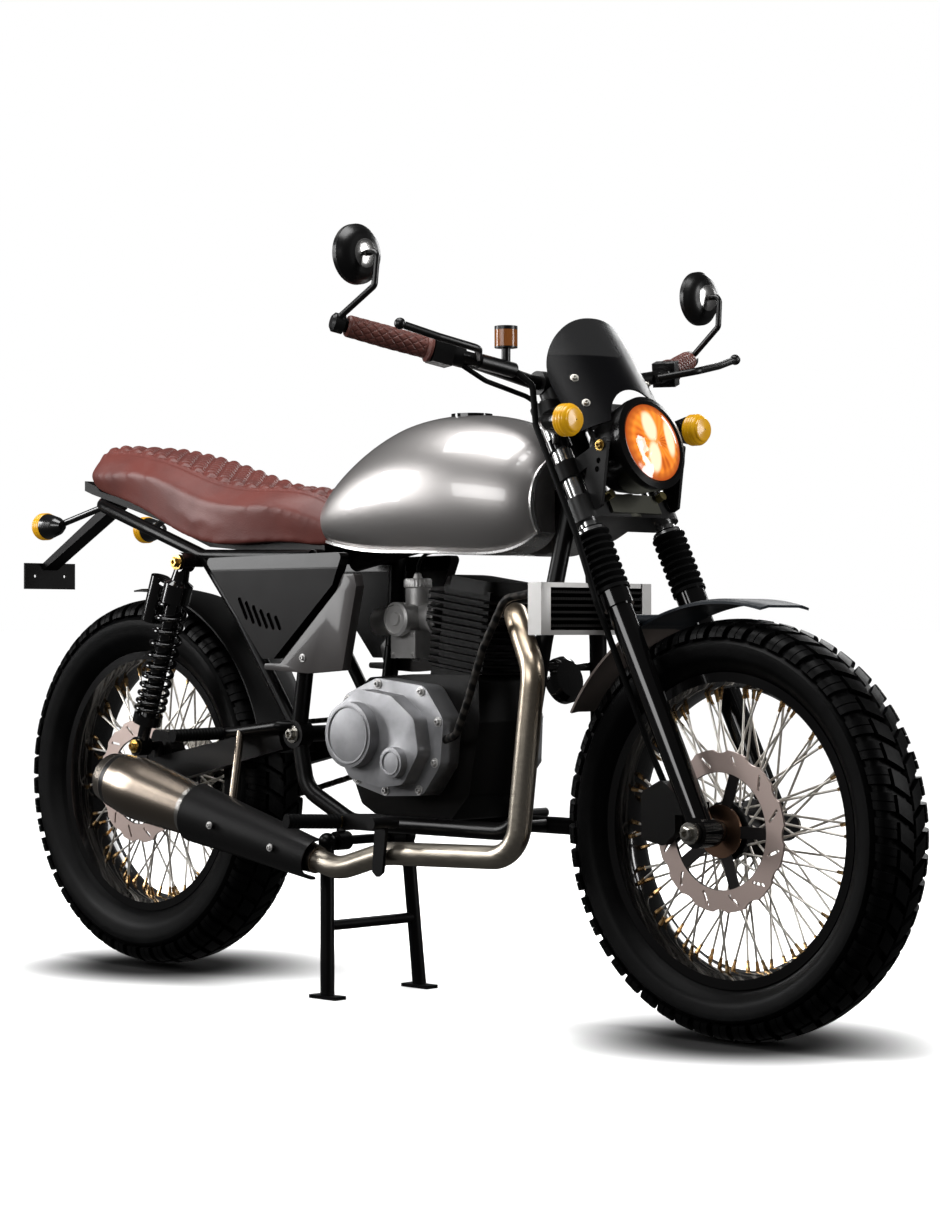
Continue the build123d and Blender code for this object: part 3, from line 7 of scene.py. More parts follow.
# %% Load the solids
import bmesh
import bpy
import numpy as np
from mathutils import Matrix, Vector


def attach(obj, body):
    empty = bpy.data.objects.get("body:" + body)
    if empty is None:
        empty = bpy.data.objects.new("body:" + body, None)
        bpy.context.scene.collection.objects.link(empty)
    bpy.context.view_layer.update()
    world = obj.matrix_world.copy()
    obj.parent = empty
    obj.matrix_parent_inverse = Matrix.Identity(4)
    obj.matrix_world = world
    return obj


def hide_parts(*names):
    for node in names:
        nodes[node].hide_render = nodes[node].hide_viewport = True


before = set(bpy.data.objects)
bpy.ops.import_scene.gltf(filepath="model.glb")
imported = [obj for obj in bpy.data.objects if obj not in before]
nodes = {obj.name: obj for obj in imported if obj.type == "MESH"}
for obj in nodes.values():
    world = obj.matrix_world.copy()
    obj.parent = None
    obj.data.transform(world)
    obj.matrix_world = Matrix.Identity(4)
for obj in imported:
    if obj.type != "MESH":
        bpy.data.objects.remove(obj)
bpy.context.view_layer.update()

# %% [markdown]
# ## The places that the pieces share
# The machine's main points, in metres. x is forward, y the rider's left, z up. The fork has its
# own frame: s runs up the steering axis and "ahead" is square to it. Every new piece is placed
# from these few points, so a piece always sits on the solid that carries it.

# %% Main points of the machine
FRONT_AXLE = np.array((0.700, 0, 0.318))
REAR_AXLE = np.array((-0.668, 0, 0.342))
RAKE = np.radians(26.3)
AHEAD = np.array((np.cos(RAKE), 0, np.sin(RAKE)))
UP_FORK = np.array((-np.sin(RAKE), 0, np.cos(RAKE)))
LEFT = np.array((0, 1.0, 0))
FORK_FOOT = FRONT_AXLE - AHEAD * 0.045
FRONT_FLANGE, REAR_FLANGE = 0.044, 0.058


def on_fork(s, ahead=0.0, left=0.0):
    """A point of the fork's frame: foot plus s up the axis, plus ahead, plus left."""
    return FORK_FOOT + UP_FORK * s + AHEAD * ahead + LEFT * left


def unit(vector):
    """The same direction, or rows of directions, with length one."""
    vector = np.asarray(vector, float)
    return vector / np.linalg.norm(vector, axis=-1, keepdims=True)


print("front axle", FRONT_AXLE, "rear axle", REAR_AXLE)

# %% [markdown]
# ## Camera, floor and light
# The photograph was taken from the machine's right front with a long lens, at about lamp height.
# A white floor that runs out of sight under a white sky gives the plain studio sheet without a
# visible horizon. The machine itself stands in a dark room: only the eye sees the sky at full
# strength, and five large soft lamps draw the long highlights on paint and rubber.

# %% Camera
CAMERA_AT = (3.392, -3.317, 0.617)
CAMERA_TURN, CAMERA_TILT = np.radians(44.56), np.radians(-0.48)
FOCAL_MM, SENSOR_MM, SIGHT = 83.56, 36, 2000
camera = bpy.data.objects.new("camera", bpy.data.cameras.new("camera"))
bpy.context.scene.collection.objects.link(camera)
camera.data.lens, camera.data.sensor_width, camera.data.clip_end = FOCAL_MM, SENSOR_MM, SIGHT
level = np.cos(CAMERA_TILT)
towards_camera = Vector((np.sin(CAMERA_TURN) * level, -np.cos(CAMERA_TURN) * level, np.sin(CAMERA_TILT)))
camera.location = CAMERA_AT
camera.rotation_euler = (-towards_camera).to_track_quat("-Z", "Y").to_euler()
bpy.context.scene.camera = camera
bpy.context.scene.view_settings.view_transform = "Standard"
print("camera at", tuple(camera.location))


# %% [markdown]
# ## Shader maths as plain Python
# A finish is a network of nodes. Wiring it by hand hides the idea, so a small class wraps a
# socket and overloads the operators: `1 - mask` adds a Math node and hands back its output.
# Everything else, from noise to colour mixing, comes from one method that adds a node.

# %% A socket that can be added and multiplied
class Tone:
    """A node's output; an operator on it adds a Math node and gives that node's output."""

    def __init__(self, finish, socket):
        self.finish = finish
        self.socket = socket

    def math(self, operation, *values):
        return self.finish.node("ShaderNodeMath", {"operation": operation}, dict(enumerate(values)))

    def __add__(self, other): return self.math("ADD", self, other)
    def __radd__(self, other): return self.math("ADD", other, self)
    def __sub__(self, other): return self.math("SUBTRACT", self, other)
    def __rsub__(self, other): return self.math("SUBTRACT", other, self)
    def __mul__(self, other): return self.math("MULTIPLY", self, other)
    def __rmul__(self, other): return self.math("MULTIPLY", other, self)
    def __truediv__(self, other): return self.math("DIVIDE", self, other)
    def __pow__(self, other): return self.math("POWER", self, other)
    def __lt__(self, other): return self.math("LESS_THAN", self, other)
    def __gt__(self, other): return self.math("GREATER_THAN", self, other)
    def __abs__(self): return self.math("ABSOLUTE", self)
    def sin(self): return self.math("SINE", self)
    def root(self): return self.math("SQRT", self)
    def fract(self): return self.math("FRACT", self)
    def turn_of(self, other): return self.math("ARCTAN2", self, other)
    def least(self, other): return self.math("MINIMUM", self, other)
    def most(self, other): return self.math("MAXIMUM", self, other)

    def ease(self, low, high):
        """0 up to low, 1 from high on, a soft step between."""
        sockets = {"Value": self, "From Min": low, "From Max": high, "To Min": 0.0, "To Max": 1.0}
        return self.finish.node("ShaderNodeMapRange", {"interpolation_type": "SMOOTHSTEP"}, sockets)


# %% A finish: one surface shader and the method that adds nodes
class Finish:
    """A new material whose surface is one Principled shader with these fixed values."""

    def __init__(self, name, **fixed):
        self.material = bpy.data.materials.new(name)
        self.material.use_nodes = True
        self.tree = self.material.node_tree
        self.tree.nodes.clear()
        self.shader = self.tree.nodes.new("ShaderNodeBsdfPrincipled")
        output = self.tree.nodes.new("ShaderNodeOutputMaterial")
        self.tree.links.new(self.shader.outputs[0], output.inputs[0])
        for key, value in fixed.items():
            self.set(key.replace("_", " ").title().replace("Ior", "IOR"), value)
        self.place = self.node("ShaderNodeTexCoord", out="Object")
        self.x, self.y, self.z = self.parts(self.place)

    def node(self, kind, settings=(), sockets=(), out=0):
        """Adds a node: its settings first, then the values or links of its sockets."""
        made = self.tree.nodes.new(kind)
        for key, value in dict(settings).items():
            setattr(made, key, value)
        for key, value in dict(sockets).items():
            self.feed(made.inputs[key], value)
        return Tone(self, made.outputs[out])

    def feed(self, socket, value):
        """Links a tone to a socket, or sets the number or colour on it."""
        if isinstance(value, Tone):
            self.tree.links.new(value.socket, socket)
        elif hasattr(value, "__len__") and len(value) == 3 and len(socket.default_value) == 4:
            socket.default_value = (*value, 1)
        else:
            socket.default_value = value

    def set(self, name, value):
        """Feeds the surface shader's own socket."""
        self.feed(self.shader.inputs[name], value)
        return self

    def parts(self, vector):
        """The three numbers of a vector."""
        split = self.node("ShaderNodeSeparateXYZ", (), {0: vector}).socket.node
        return tuple(Tone(self, socket) for socket in split.outputs)

    def vector(self, operation, *values, out=0):
        """Adds a Vector Math node."""
        return self.node("ShaderNodeVectorMath", {"operation": operation}, dict(enumerate(values)), out)

    def reach(self, point, along):
        """How far the place lies beyond a point in a direction."""
        near = self.vector("SUBTRACT", self.place, tuple(point))
        return self.vector("DOT_PRODUCT", near, tuple(along), out=1)

    def streaks(self, where, detail):
        """Fine lines across the way in which a number grows."""
        sockets = {"W": where, "Scale": 1.0, "Detail": detail}
        return self.node("ShaderNodeTexNoise", {"noise_dimensions": "1D"}, sockets)

    def noise(self, scale, detail=3.0, stretch=(1, 1, 1)):
        """Cloudy grain from 0 to 1, so many lumps to the metre, stretched along the axes."""
        where = self.vector("MULTIPLY", self.place, stretch)
        return self.node("ShaderNodeTexNoise", (), {"Vector": where, "Scale": scale, "Detail": detail})

    def cells(self, scale):
        """Distance to the nearest of many scattered points, as in grained hide."""
        return self.node("ShaderNodeTexVoronoi", (), {"Vector": self.place, "Scale": scale})

    def mix(self, mask, low, high):
        """Colour that goes from low to high as mask goes from 0 to 1."""
        return self.node("ShaderNodeMix", {"data_type": "RGBA"}, {0: mask, 6: low, 7: high}, out=2)

    def relief(self, height, strength=0.3, distance=0.001):
        """Bumps the surface by a height map."""
        bump = self.node("ShaderNodeBump", (), {"Height": height, "Strength": strength, "Distance": distance})
        return self.set("Normal", bump)

    def off_axis(self, point, along):
        """Distance from the line through point along a direction, and the distance along it."""
        along = tuple(unit(along))
        near = self.vector("SUBTRACT", self.place, tuple(point))
        off = self.vector("LENGTH", self.vector("CROSS_PRODUCT", near, along), out=1)
        return off, self.vector("DOT_PRODUCT", near, along, out=1)


# %% [markdown]
# ## Floor and lamps
# The floor is a wide sheet with a faint mottle. It throws no light back at the machine, and a
# broad sun that shines on the floor alone keeps it white. Where each tyre meets the floor, the
# sheet's colour darkens to near black in a soft disc: a painted shadow under each wheel.
# The sky is white for the eye and dark for everything else, which keeps black paint black.

# %% Floor, sky and soft lamps
FLOOR_HALF = 900
# Inner and outer radius in metres and depth of the painted shadow round each tyre
PAINTED_SHADOW_IN, PAINTED_SHADOW_OUT, PAINTED_SHADOW_DARK = 0.10, 0.46, 0.985
SKY_ON_MATT, SKY_IN_GLOSS = 0.07, 0.05
AIM = Vector((0, 0, 0.6))
SUN_POWER, SUN_SPREAD = 3.14, np.radians(95)
floor_finish = Finish("floor_sheet", roughness=1.0, specular_ior_level=0.0)
sheet = floor_finish.mix(floor_finish.noise(1.5), (0.985, 0.985, 0.985), (0.995, 0.995, 0.995))
# Painted shadow: the sheet's colour goes near black in a soft disc round each tyre's foot
for axle in (FRONT_AXLE, REAR_AXLE):
    away, _ = floor_finish.off_axis(axle, (0, 0, 1))
    painted_shadow = (1 - away.ease(PAINTED_SHADOW_IN, PAINTED_SHADOW_OUT)) * PAINTED_SHADOW_DARK
    sheet = floor_finish.mix(painted_shadow, sheet, (0.003, 0.003, 0.003))
floor_finish.set("Base Color", sheet)
floor_mesh = bpy.data.meshes.new("floor")
corners = np.array(((-1, -1, 0), (1, -1, 0), (1, 1, 0), (-1, 1, 0)), float) * FLOOR_HALF
floor_mesh.from_pydata(corners.tolist(), [], [(0, 1, 2, 3)])
floor_mesh.materials.append(floor_finish.material)
floor = bpy.data.objects.new("floor", floor_mesh)
bpy.context.scene.collection.objects.link(floor)
floor.visible_diffuse = floor.visible_glossy = False

sky = bpy.data.worlds.new("sky")
sky.use_nodes = True
sky_nodes = sky.node_tree
rays = sky_nodes.nodes.new("ShaderNodeLightPath")
dim = sky_nodes.nodes.new("ShaderNodeMapRange")
dim.inputs["To Min"].default_value = SKY_ON_MATT
dim.inputs["To Max"].default_value = SKY_IN_GLOSS
sky_nodes.links.new(rays.outputs["Is Glossy Ray"], dim.inputs["Value"])
seen = sky_nodes.nodes.new("ShaderNodeMath")
seen.operation = "MAXIMUM"
sky_nodes.links.new(dim.outputs[0], seen.inputs[0])
sky_nodes.links.new(rays.outputs["Is Camera Ray"], seen.inputs[1])
sky_nodes.links.new(seen.outputs[0], sky_nodes.nodes["Background"].inputs["Strength"])
sky_nodes.nodes["Background"].inputs["Color"].default_value = (1, 1, 1, 1)
bpy.context.scene.world = sky

# Columns: name, place, size along x and y of the lamp, power in watts
LAMPS = (
    ("over", (0.0, -0.7, 3.2), 2.8, 1.4, 90),
    ("right", (0.1, -3.6, 1.6), 3.0, 1.0, 45),
    ("front", (3.2, 1.6, 1.5), 0.8, 2.0, 60),
    ("rear", (-2.8, -2.2, 1.6), 1.0, 1.8, 85),
    ("left", (-0.8, 3.4, 2.2), 2.4, 1.0, 45),
)
for name, place, wide, tall, watts in LAMPS:
    lamp = bpy.data.objects.new("lamp_" + name, bpy.data.lights.new("lamp_" + name, "AREA"))
    lamp.data.shape = "RECTANGLE"
    lamp.data.size, lamp.data.size_y, lamp.data.energy = wide, tall, watts
    lamp.location = place
    lamp.rotation_euler = (AIM - lamp.location).to_track_quat("-Z", "Y").to_euler()
    bpy.context.scene.collection.objects.link(lamp)
floor_only = bpy.data.collections.new("floor_only")
floor_only.objects.link(floor)
sun = bpy.data.objects.new("lamp_floor", bpy.data.lights.new("lamp_floor", "SUN"))
sun.data.energy, sun.data.angle = SUN_POWER, SUN_SPREAD
sun.light_linking.receiver_collection = floor_only
bpy.context.scene.collection.objects.link(sun)
print("lamps:", len(LAMPS) + 1)


# %% [markdown]
# ## Paint, metal and rubber
# Most of the machine is coated steel, cast alloy and rubber. Each maker below returns a fresh
# finish with the grain that the real one shows at its own scale: orange peel in powder coat,
# fine pits in castings, drawn lines in brushed tube.

# %% Coated and cast finishes
BLACK = (0.0024, 0.0022, 0.0023)


def coated(name, colour=BLACK, rough=0.32, peel=0.12, coat=0.0):
    """Powder coat or paint: even colour, orange peel, dust that dulls it in places."""
    made = Finish(name, coat_weight=coat, coat_roughness=0.06, specular_ior_level=0.14)
    dust = made.noise(9, 5)
    dusty = tuple(c * 1.4 + 0.001 for c in colour)
    made.set("Base Color", made.mix(dust.ease(0.45, 0.8) * 0.5, colour, dusty))
    made.set("Roughness", rough + (dust - 0.5) * 0.18)
    return made.relief(made.noise(1400, 2), peel, 0.0004)


def cast(name, colour, rough=0.45, metallic=0.6, pits=0.25):
    """Cast or bead-blasted metal: fine pits and a stain that gathers in patches."""
    made = Finish(name, metallic=metallic, specular_ior_level=0.08)
    stain = made.noise(14, 6)
    dark = tuple(c * 0.62 for c in colour)
    made.set("Base Color", made.mix(stain.ease(0.35, 0.75), colour, dark))
    made.set("Roughness", rough + (stain - 0.5) * 0.25)
    return made.relief(made.noise(2600, 3), pits, 0.0005)


def polished(name, colour, rough=0.12, metallic=1.0):
    """Plated or polished metal: smudges that show only in the gloss."""
    made = Finish(name, metallic=metallic)
    smudge = made.noise(30, 5)
    made.set("Base Color", made.mix(smudge, colour, tuple(c * 0.86 for c in colour)))
    made.set("Roughness", rough + (smudge.ease(0.4, 0.8)) * 0.12)
    return made.relief(made.noise(700, 2), 0.02, 0.0003)


def rubbery(name, colour=(0.0026, 0.0026, 0.0027), rough=0.55, grain=0.3):
    """Moulded rubber: a matt skin with fine grain and a grey bloom."""
    made = Finish(name, specular_ior_level=0.065)
    bloom = made.noise(18, 6)
    grey = tuple(c * 1.6 + 0.0006 for c in colour)
    made.set("Base Color", made.mix(bloom.ease(0.4, 0.9), colour, grey))
    made.set("Roughness", rough + (bloom - 0.5) * 0.25)
    return made.relief(made.noise(1900, 3), grain, 0.0005)


print("finish makers ready")

# %% [markdown]
# Some nodes carry more than one finish, such as a hub with bare spokes or a muffler with a black
# end. Their masks come from the place itself: how far a point lies from an axle, or how far
# along a tube. That stays true when the piece moves, because Object coordinates ride with it.

# %% Finishes that change with the place
def banded(made, base, bands, rough, metallic):
    """Lays bands over a base colour; a band is mask, colour, roughness, metallic."""
    grime = made.noise(22, 5)
    colour = made.mix(grime, base, tuple(c * 0.8 for c in base))
    rough_now, metal_now = rough + (grime - 0.5) * 0.15, metallic
    for mask, tint, band_rough, band_metal in bands:
        colour = made.mix(mask, colour, tint)
        rough_now = rough_now + mask * (band_rough - rough_now)
        metal_now = metal_now + mask * (band_metal - metal_now)
    made.set("Base Color", colour)
    made.set("Roughness", rough_now)
    return made.set("Metallic", metal_now)


def hub_finish(name, axle, flange):
    """Black hub out to its flange, bare steel spokes beyond it."""
    made = Finish(name)
    off, _ = made.off_axis(axle, LEFT)
    spokes = off.ease(flange + 0.001, flange + 0.002)
    banded(made, BLACK, [(spokes, (0.74, 0.70, 0.64), 0.34, 0.72)], 0.38, 0.2)
    return made.relief(made.noise(1500, 2), 0.1, 0.0004)


def disc_finish(name, axle, ring_in):
    """Ground steel swept ring with fine circular lines, darker carrier inside it, a copper boss."""
    made = Finish(name)
    off, _ = made.off_axis(axle, LEFT)
    ring = off.ease(ring_in, ring_in + 0.001)
    boss = 1 - off.ease(0.040, 0.0405)
    lines = made.streaks(off * 2400, 2.0)
    swept = made.mix(lines, (0.46, 0.355, 0.32), (0.62, 0.50, 0.455))
    bands = [(ring, swept, 0.36, 0.7), (boss, (0.20, 0.115, 0.075), 0.3, 1.0)]
    banded(made, (0.016, 0.014, 0.014), bands, 0.42, 0.8)
    return made.relief(lines * ring, 0.12, 0.0003)


print("place finishes ready")

# %% Finishes for each solid
MUFFLER_IN = np.array((-0.046, -0.182, 0.240))
MUFFLER_OUT = np.array((-0.566, -0.202, 0.358))
MUFFLER_RUN = unit(MUFFLER_OUT - MUFFLER_IN)
SHOCK_TOP = np.array((-0.442, 0, 0.738))
SHOCK_LOW = np.array((-0.560, 0, 0.412))
SHOCK_RUN = unit(SHOCK_TOP - SHOCK_LOW)
SHOCK_Y = 0.140
COVER_LIP_Z = 0.722
COOLER_Z = 0.652


def tank_paint():
    """Grey metallic lacquer: flakes under a clear coat."""
    made = Finish("tank_paint", coat_weight=1.0, coat_roughness=0.03, metallic=0.86)
    flake = made.cells(5200)
    sweep = made.noise(3.0, 2)
    made.set("Base Color", made.mix(flake * 0.6 + sweep * 0.4, (0.31, 0.295, 0.29), (0.46, 0.44, 0.43)))
    made.set("Roughness", 0.32 + flake * 0.12)
    return made.relief(flake, 0.02, 0.0002)


def header_finish():
    """Brushed stainless tube, straw and bronze where the gas is hottest."""
    made = Finish("brushed_header", metallic=1.0)
    draw = made.noise(240, 3, (0.12, 1, 1))
    heat = made.z.ease(0.36, 0.66)
    plain = made.mix(draw, (0.47, 0.42, 0.35), (0.62, 0.56, 0.47))
    made.set("Base Color", made.mix(heat * 0.55, plain, (0.46, 0.33, 0.20)))
    made.set("Roughness", 0.24 + draw * 0.16)
    return made.relief(draw, 0.08, 0.0003)


def muffler_finish():
    """Bronzed steel cone, brushed round; black end cap and a bright bevelled outlet."""
    made = Finish("muffler_cone")
    off, run = made.off_axis(MUFFLER_IN, MUFFLER_RUN)
    lines = made.streaks(run * 1500, 3.0)
    cone = made.mix(lines, (0.25, 0.205, 0.165), (0.37, 0.315, 0.26))
    cap = run.ease(0.4995, 0.5005)
    lip = cap * (off > 0.034) * (1 - off.ease(0.0475, 0.0482))
    pipe = cap * (1 - (off > 0.0325))
    clip = run.ease(0.2995, 0.3) * (1 - run.ease(0.312, 0.3125))
    bands = [(1.0, cone, 0.27, 1.0), (cap, (0.015, 0.014, 0.014), 0.3, 0.5),
             (lip, (0.52, 0.46, 0.40), 0.2, 1.0), (pipe, (0.03, 0.024, 0.02), 0.6, 0.6),
             (clip, (0.6, 0.58, 0.55), 0.22, 1.0)]
    banded(made, (0.3, 0.25, 0.2), bands, 0.3, 1.0)
    return made.relief(lines, 0.1, 0.0003)


def carbon_finish():
    """Twill carbon under lacquer: two yarn directions that trade places on a diagonal step."""
    made = Finish("carbon_shield", coat_weight=0.2, coat_roughness=0.08, specular_ior_level=0.08)
    run = made.reach(MUFFLER_IN, MUFFLER_RUN)
    round_it = (made.y + 0.19) * 260 + (made.z - 0.25) * 190
    along = run * 260
    step = ((along + round_it * 2).fract() - 0.5) * ((along * 2 - round_it).fract() - 0.5)
    weft, warp = (0.0015, 0.0015, 0.0017), (0.011, 0.0105, 0.0105)
    made.set("Base Color", made.mix(step.ease(-0.04, 0.04), weft, warp))
    made.set("Roughness", 0.34 + step.ease(-0.1, 0.1) * 0.2)
    return made.relief(step, 0.2, 0.0005)


def cover_finish():
    """Side cover: lacquered lip along the top, satin panel under it."""
    made = Finish("side_cover_black", coat_roughness=0.05, specular_ior_level=0.07)
    line = made.z - COVER_LIP_Z
    gloss = line.ease(-0.001, 0.001)
    grain = made.noise(20, 5)
    made.set("Base Color", made.mix(gloss, (0.0026, 0.0020, 0.0020), (0.0022, 0.0019, 0.0019)))
    made.set("Roughness", 0.36 + (grain - 0.5) * 0.12 - gloss * 0.24)
    made.set("Coat Weight", gloss * 0.12)
    groove = 1 - abs(line).ease(0.0, 0.0016)
    return made.relief(made.noise(1200, 2) * 0.06 - groove, 0.4, 0.0008)


def fender_finish():
    """Front fender: blue-black lacquer, and the bare brown-grey flap behind the fork."""
    made = Finish("front_fender_paint", coat_roughness=0.14, specular_ior_level=0.2)
    angle = (made.z - FRONT_AXLE[2]).turn_of(made.x - FRONT_AXLE[0])
    flap = angle.ease(np.radians(118), np.radians(119))
    grain = made.noise(26, 5)
    made.set("Base Color", made.mix(flap, (0.012, 0.016, 0.021), (0.150, 0.122, 0.108)))
    made.set("Roughness", 0.50 + flap * 0.08 + (grain - 0.5) * 0.1)
    made.set("Coat Weight", (1 - flap) * 0.05)
    return made.relief(made.noise(900, 2), 0.06, 0.0004)


def tail_finish():
    """Black bullets and holder behind, and the red lens of the tail lamp under the seat's end."""
    made = Finish("tail_lamp_black", coat_weight=0.6, coat_roughness=0.05)
    red = (made.x < -0.808) * (abs(made.y) < 0.05)
    banded(made, BLACK, [(red, (0.30, 0.012, 0.01), 0.16, 0.0)], 0.26, 0.0)
    return made.relief(made.noise(1500, 2), 0.04, 0.0003)


YOKE_FRONT = 0.069
LAMP_AT = on_fork(0.609, 0.148)
LAMP_RUN = unit((np.cos(np.radians(15)), 0, np.sin(np.radians(15))))


def lens_finish():
    """Lit lamp: painted white highlights over an amber glowing bowl, darker reflectors, a deep orange rim."""
    made = Finish("headlamp_glow", coat_weight=1.0, coat_roughness=0.02, roughness=0.12)
    up = np.cross(LAMP_RUN, LEFT)
    high, across = made.reach(LAMP_AT, up), made.y

    def pool(at_y, at_z, wide, tall):
        """1 in the middle of an oval, falling softly to 0 at its edge."""
        y, z = (across - at_y) / wide, (high - at_z) / tall
        return 1 - (y * y + z * z).ease(0.0, 1.0)

    ring = (high * high + across * across).root()
    # Painted highlights: three tall soft white ovals laid into the lamp's amber light
    painted_highlight = pool(-0.010, 0.024, 0.020, 0.034).most(pool(-0.010, -0.026, 0.018, 0.034))
    painted_highlight = painted_highlight.most(pool(0.034, 0.006, 0.016, 0.040))
    bowl = pool(-0.036, 0.0, 0.012, 0.030).most(pool(0.014, -0.001, 0.012, 0.014))
    bowl = bowl.most(pool(0.012, -0.036, 0.018, 0.016))
    edge = (ring * 330).sin() * 0.5 + 0.5
    rim = ring.ease(0.047, 0.054)
    fan = (high.turn_of(across) * 22).sin() * 0.5 + 0.5
    amber = made.mix(fan * 0.4 + bowl * 0.6, (1.0, 0.30, 0.03), (0.40, 0.062, 0.004))
    glow_and_painted_highlight = made.mix(painted_highlight.ease(0.15, 0.85), amber, (1.0, 0.90, 0.62))
    lit = made.mix(rim * (0.55 + edge * 0.45), glow_and_painted_highlight, (0.42, 0.070, 0.008))
    made.set("Base Color", made.mix(rim, (0.30, 0.07, 0.01), (0.08, 0.02, 0.005)))
    made.set("Emission Color", lit)
    made.set("Emission Strength", 1.15)
    return made.relief(bowl * 0.5 + fan * 0.1 + edge * rim * 0.2, 0.5, 0.002)


def cooler_finish():
    """Silver end tanks and rails round a black perforated core, its holes darkened as painted shade; dark
    braid on the hose behind.
    """
    made = Finish("oil_cooler_alloy", specular_ior_level=0.15)
    hose = made.x < 0.3795
    core = (abs(made.y) < 0.108) * (abs(made.z - COOLER_Z) < 0.0335)
    holes_y = abs((made.y * 170).fract() - 0.5)
    holes_z = abs((made.z * 170).fract() - 0.5)
    hole = 1 - (holes_y * holes_y + holes_z * holes_z).root().ease(0.22, 0.34)
    # Painted shade: the core's holes are coloured near black to stand for their depth
    dark = made.mix(hole, (0.014, 0.0135, 0.013), (0.002, 0.002, 0.002))
    plait = ((made.z + made.x) * 210).sin() * ((made.z - made.x + made.y) * 210).sin()
    braid = made.mix(plait.ease(-0.5, 0.5), (0.006, 0.006, 0.006), (0.040, 0.036, 0.032))
    bands = [(core, dark, 0.8, 0.0), (hose, braid, 0.45, 0.3)]
    banded(made, (0.50, 0.49, 0.48), bands, 0.36, 0.85)
    holes = hole * core * (1 - hose)
    return made.relief(made.noise(1800, 2) * 0.1 - holes + plait * hose * 0.5, 0.4, 0.001)


def yoke_finish():
    """Satin black clamps; the plate on the lower one's front is bare grey with gilt bolts."""
    made = Finish("yoke_black")
    high, ahead = made.reach(FORK_FOOT, UP_FORK), made.reach(FORK_FOOT, AHEAD)
    low = 1 - high.ease(0.60, 0.605)
    bolt = low * ahead.ease(YOKE_FRONT + 0.0055, YOKE_FRONT + 0.0058)
    plate = low * ahead.ease(YOKE_FRONT + 0.0003, YOKE_FRONT + 0.0006) * (1 - bolt)
    bands = [(plate, (0.105, 0.105, 0.085), 0.4, 0.7), (bolt, (0.34, 0.29, 0.13), 0.3, 1.0)]
    banded(made, BLACK, bands, 0.42, 0.1)
    return made.relief(made.noise(1500, 2), 0.1, 0.0004)


def mirror_finish():
    """Black shell and arm, silvered glass behind, a bright cap on the back of the shell."""
    made = Finish("mirror_shell")
    glass = 1 - made.x.ease(0.2764, 0.2768)
    spread = ((made.z - 1.187) ** 2.0 + (abs(made.y) - 0.402) ** 2.0).root()
    face = glass * (1 - spread.ease(0.0425, 0.043)) * made.z.ease(1.13, 1.14)
    cap = made.x.ease(0.2985, 0.2990) * (1 - spread.ease(0.0215, 0.022))
    cap = cap * (1 - made.x.ease(0.306, 0.3062))
    bands = [(face, (0.82, 0.84, 0.86), 0.02, 1.0), (cap, (0.62, 0.61, 0.60), 0.2, 1.0)]
    banded(made, BLACK, bands, 0.3, 0.0)
    return made.relief(made.noise(1500, 2) * (1 - face), 0.05, 0.0003)


def control_finish():
    """Black housings and an amber fluid cup on the right."""
    made = Finish("hand_control_black")
    cup_off = ((made.x - 0.352) ** 2.0 + (made.y + 0.150) ** 2.0).root()
    level = made.z.ease(1.060, 1.0605) * (1 - made.z.ease(1.086, 1.0865))
    cup = (1 - cup_off.ease(0.0205, 0.021)) * level
    banded(made, BLACK, [(cup, (0.26, 0.085, 0.02), 0.14, 0.0)], 0.34, 0.15)
    return made.relief(made.noise(1500, 2), 0.08, 0.0004)


def peg_finish():
    """Ribbed peg rubber: rings that run round the peg."""
    made = rubbery("peg_rubber")
    rib = (made.y * 150).fract() - 0.5
    return made.relief(rib * rib, 0.9, 0.003)


def instrument_finish():
    """Black dial case with a smooth dark glass on top."""
    made = Finish("instrument_case", coat_roughness=0.03)
    off, run = made.off_axis(on_fork(0.726, 0.082), UP_FORK)
    glass = run.ease(0.0535, 0.0538) * (1 - off.ease(0.033, 0.0335))
    made.set("Base Color", made.mix(glass, BLACK, (0.02, 0.022, 0.026)))
    made.set("Roughness", 0.42 - glass * 0.36 + (made.noise(30) - 0.5) * 0.06)
    made.set("Coat Weight", glass)
    return made.relief(made.noise(1500, 2) * (1 - glass), 0.1, 0.0004)


frame_black = coated("frame_black", rough=0.30)
satin_black = coated("satin_black", rough=0.45)
gloss_black = coated("gloss_black", rough=0.16, coat=1.0, peel=0.03)
lamp_black = coated("lamp_black", rough=0.30, coat=0.2, peel=0.03)
engine_black = cast("engine_black", (0.0026, 0.0023, 0.0021), 0.38, 0.08, 0.4)
cover_grey = cast("cover_grey", (0.30, 0.30, 0.31), 0.42, 0.75, 0.3)
alloy = cast("bare_alloy", (0.56, 0.55, 0.54), 0.40, 0.62, 0.3)
zinc = polished("zinc_steel", (0.46, 0.44, 0.40), 0.24)
chrome = polished("chrome", (0.80, 0.80, 0.80), 0.16)
brass = polished("brass", (0.52, 0.33, 0.15), 0.24)
seam_silver = polished("seam_silver", (0.74, 0.73, 0.72), 0.24, 0.8)
gold = polished("gold_plate", (0.60, 0.40, 0.12), 0.22)
boot_rubber = rubbery("boot_rubber", rough=0.5)
trim_grey = coated("trim_grey", (0.046, 0.042, 0.041), 0.34, 0.04, 0.15)
smoked = Finish("smoked_screen", base_color=(0.003, 0.003, 0.0035), coat_weight=0.1, coat_roughness=0.2,
                specular_ior_level=0.08)
smoked.set("Roughness", 0.28 + smoked.noise(12, 4) * 0.08)
smoked.set("Alpha", 0.985 - smoked.z.ease(1.046, 1.050) * 0.13)

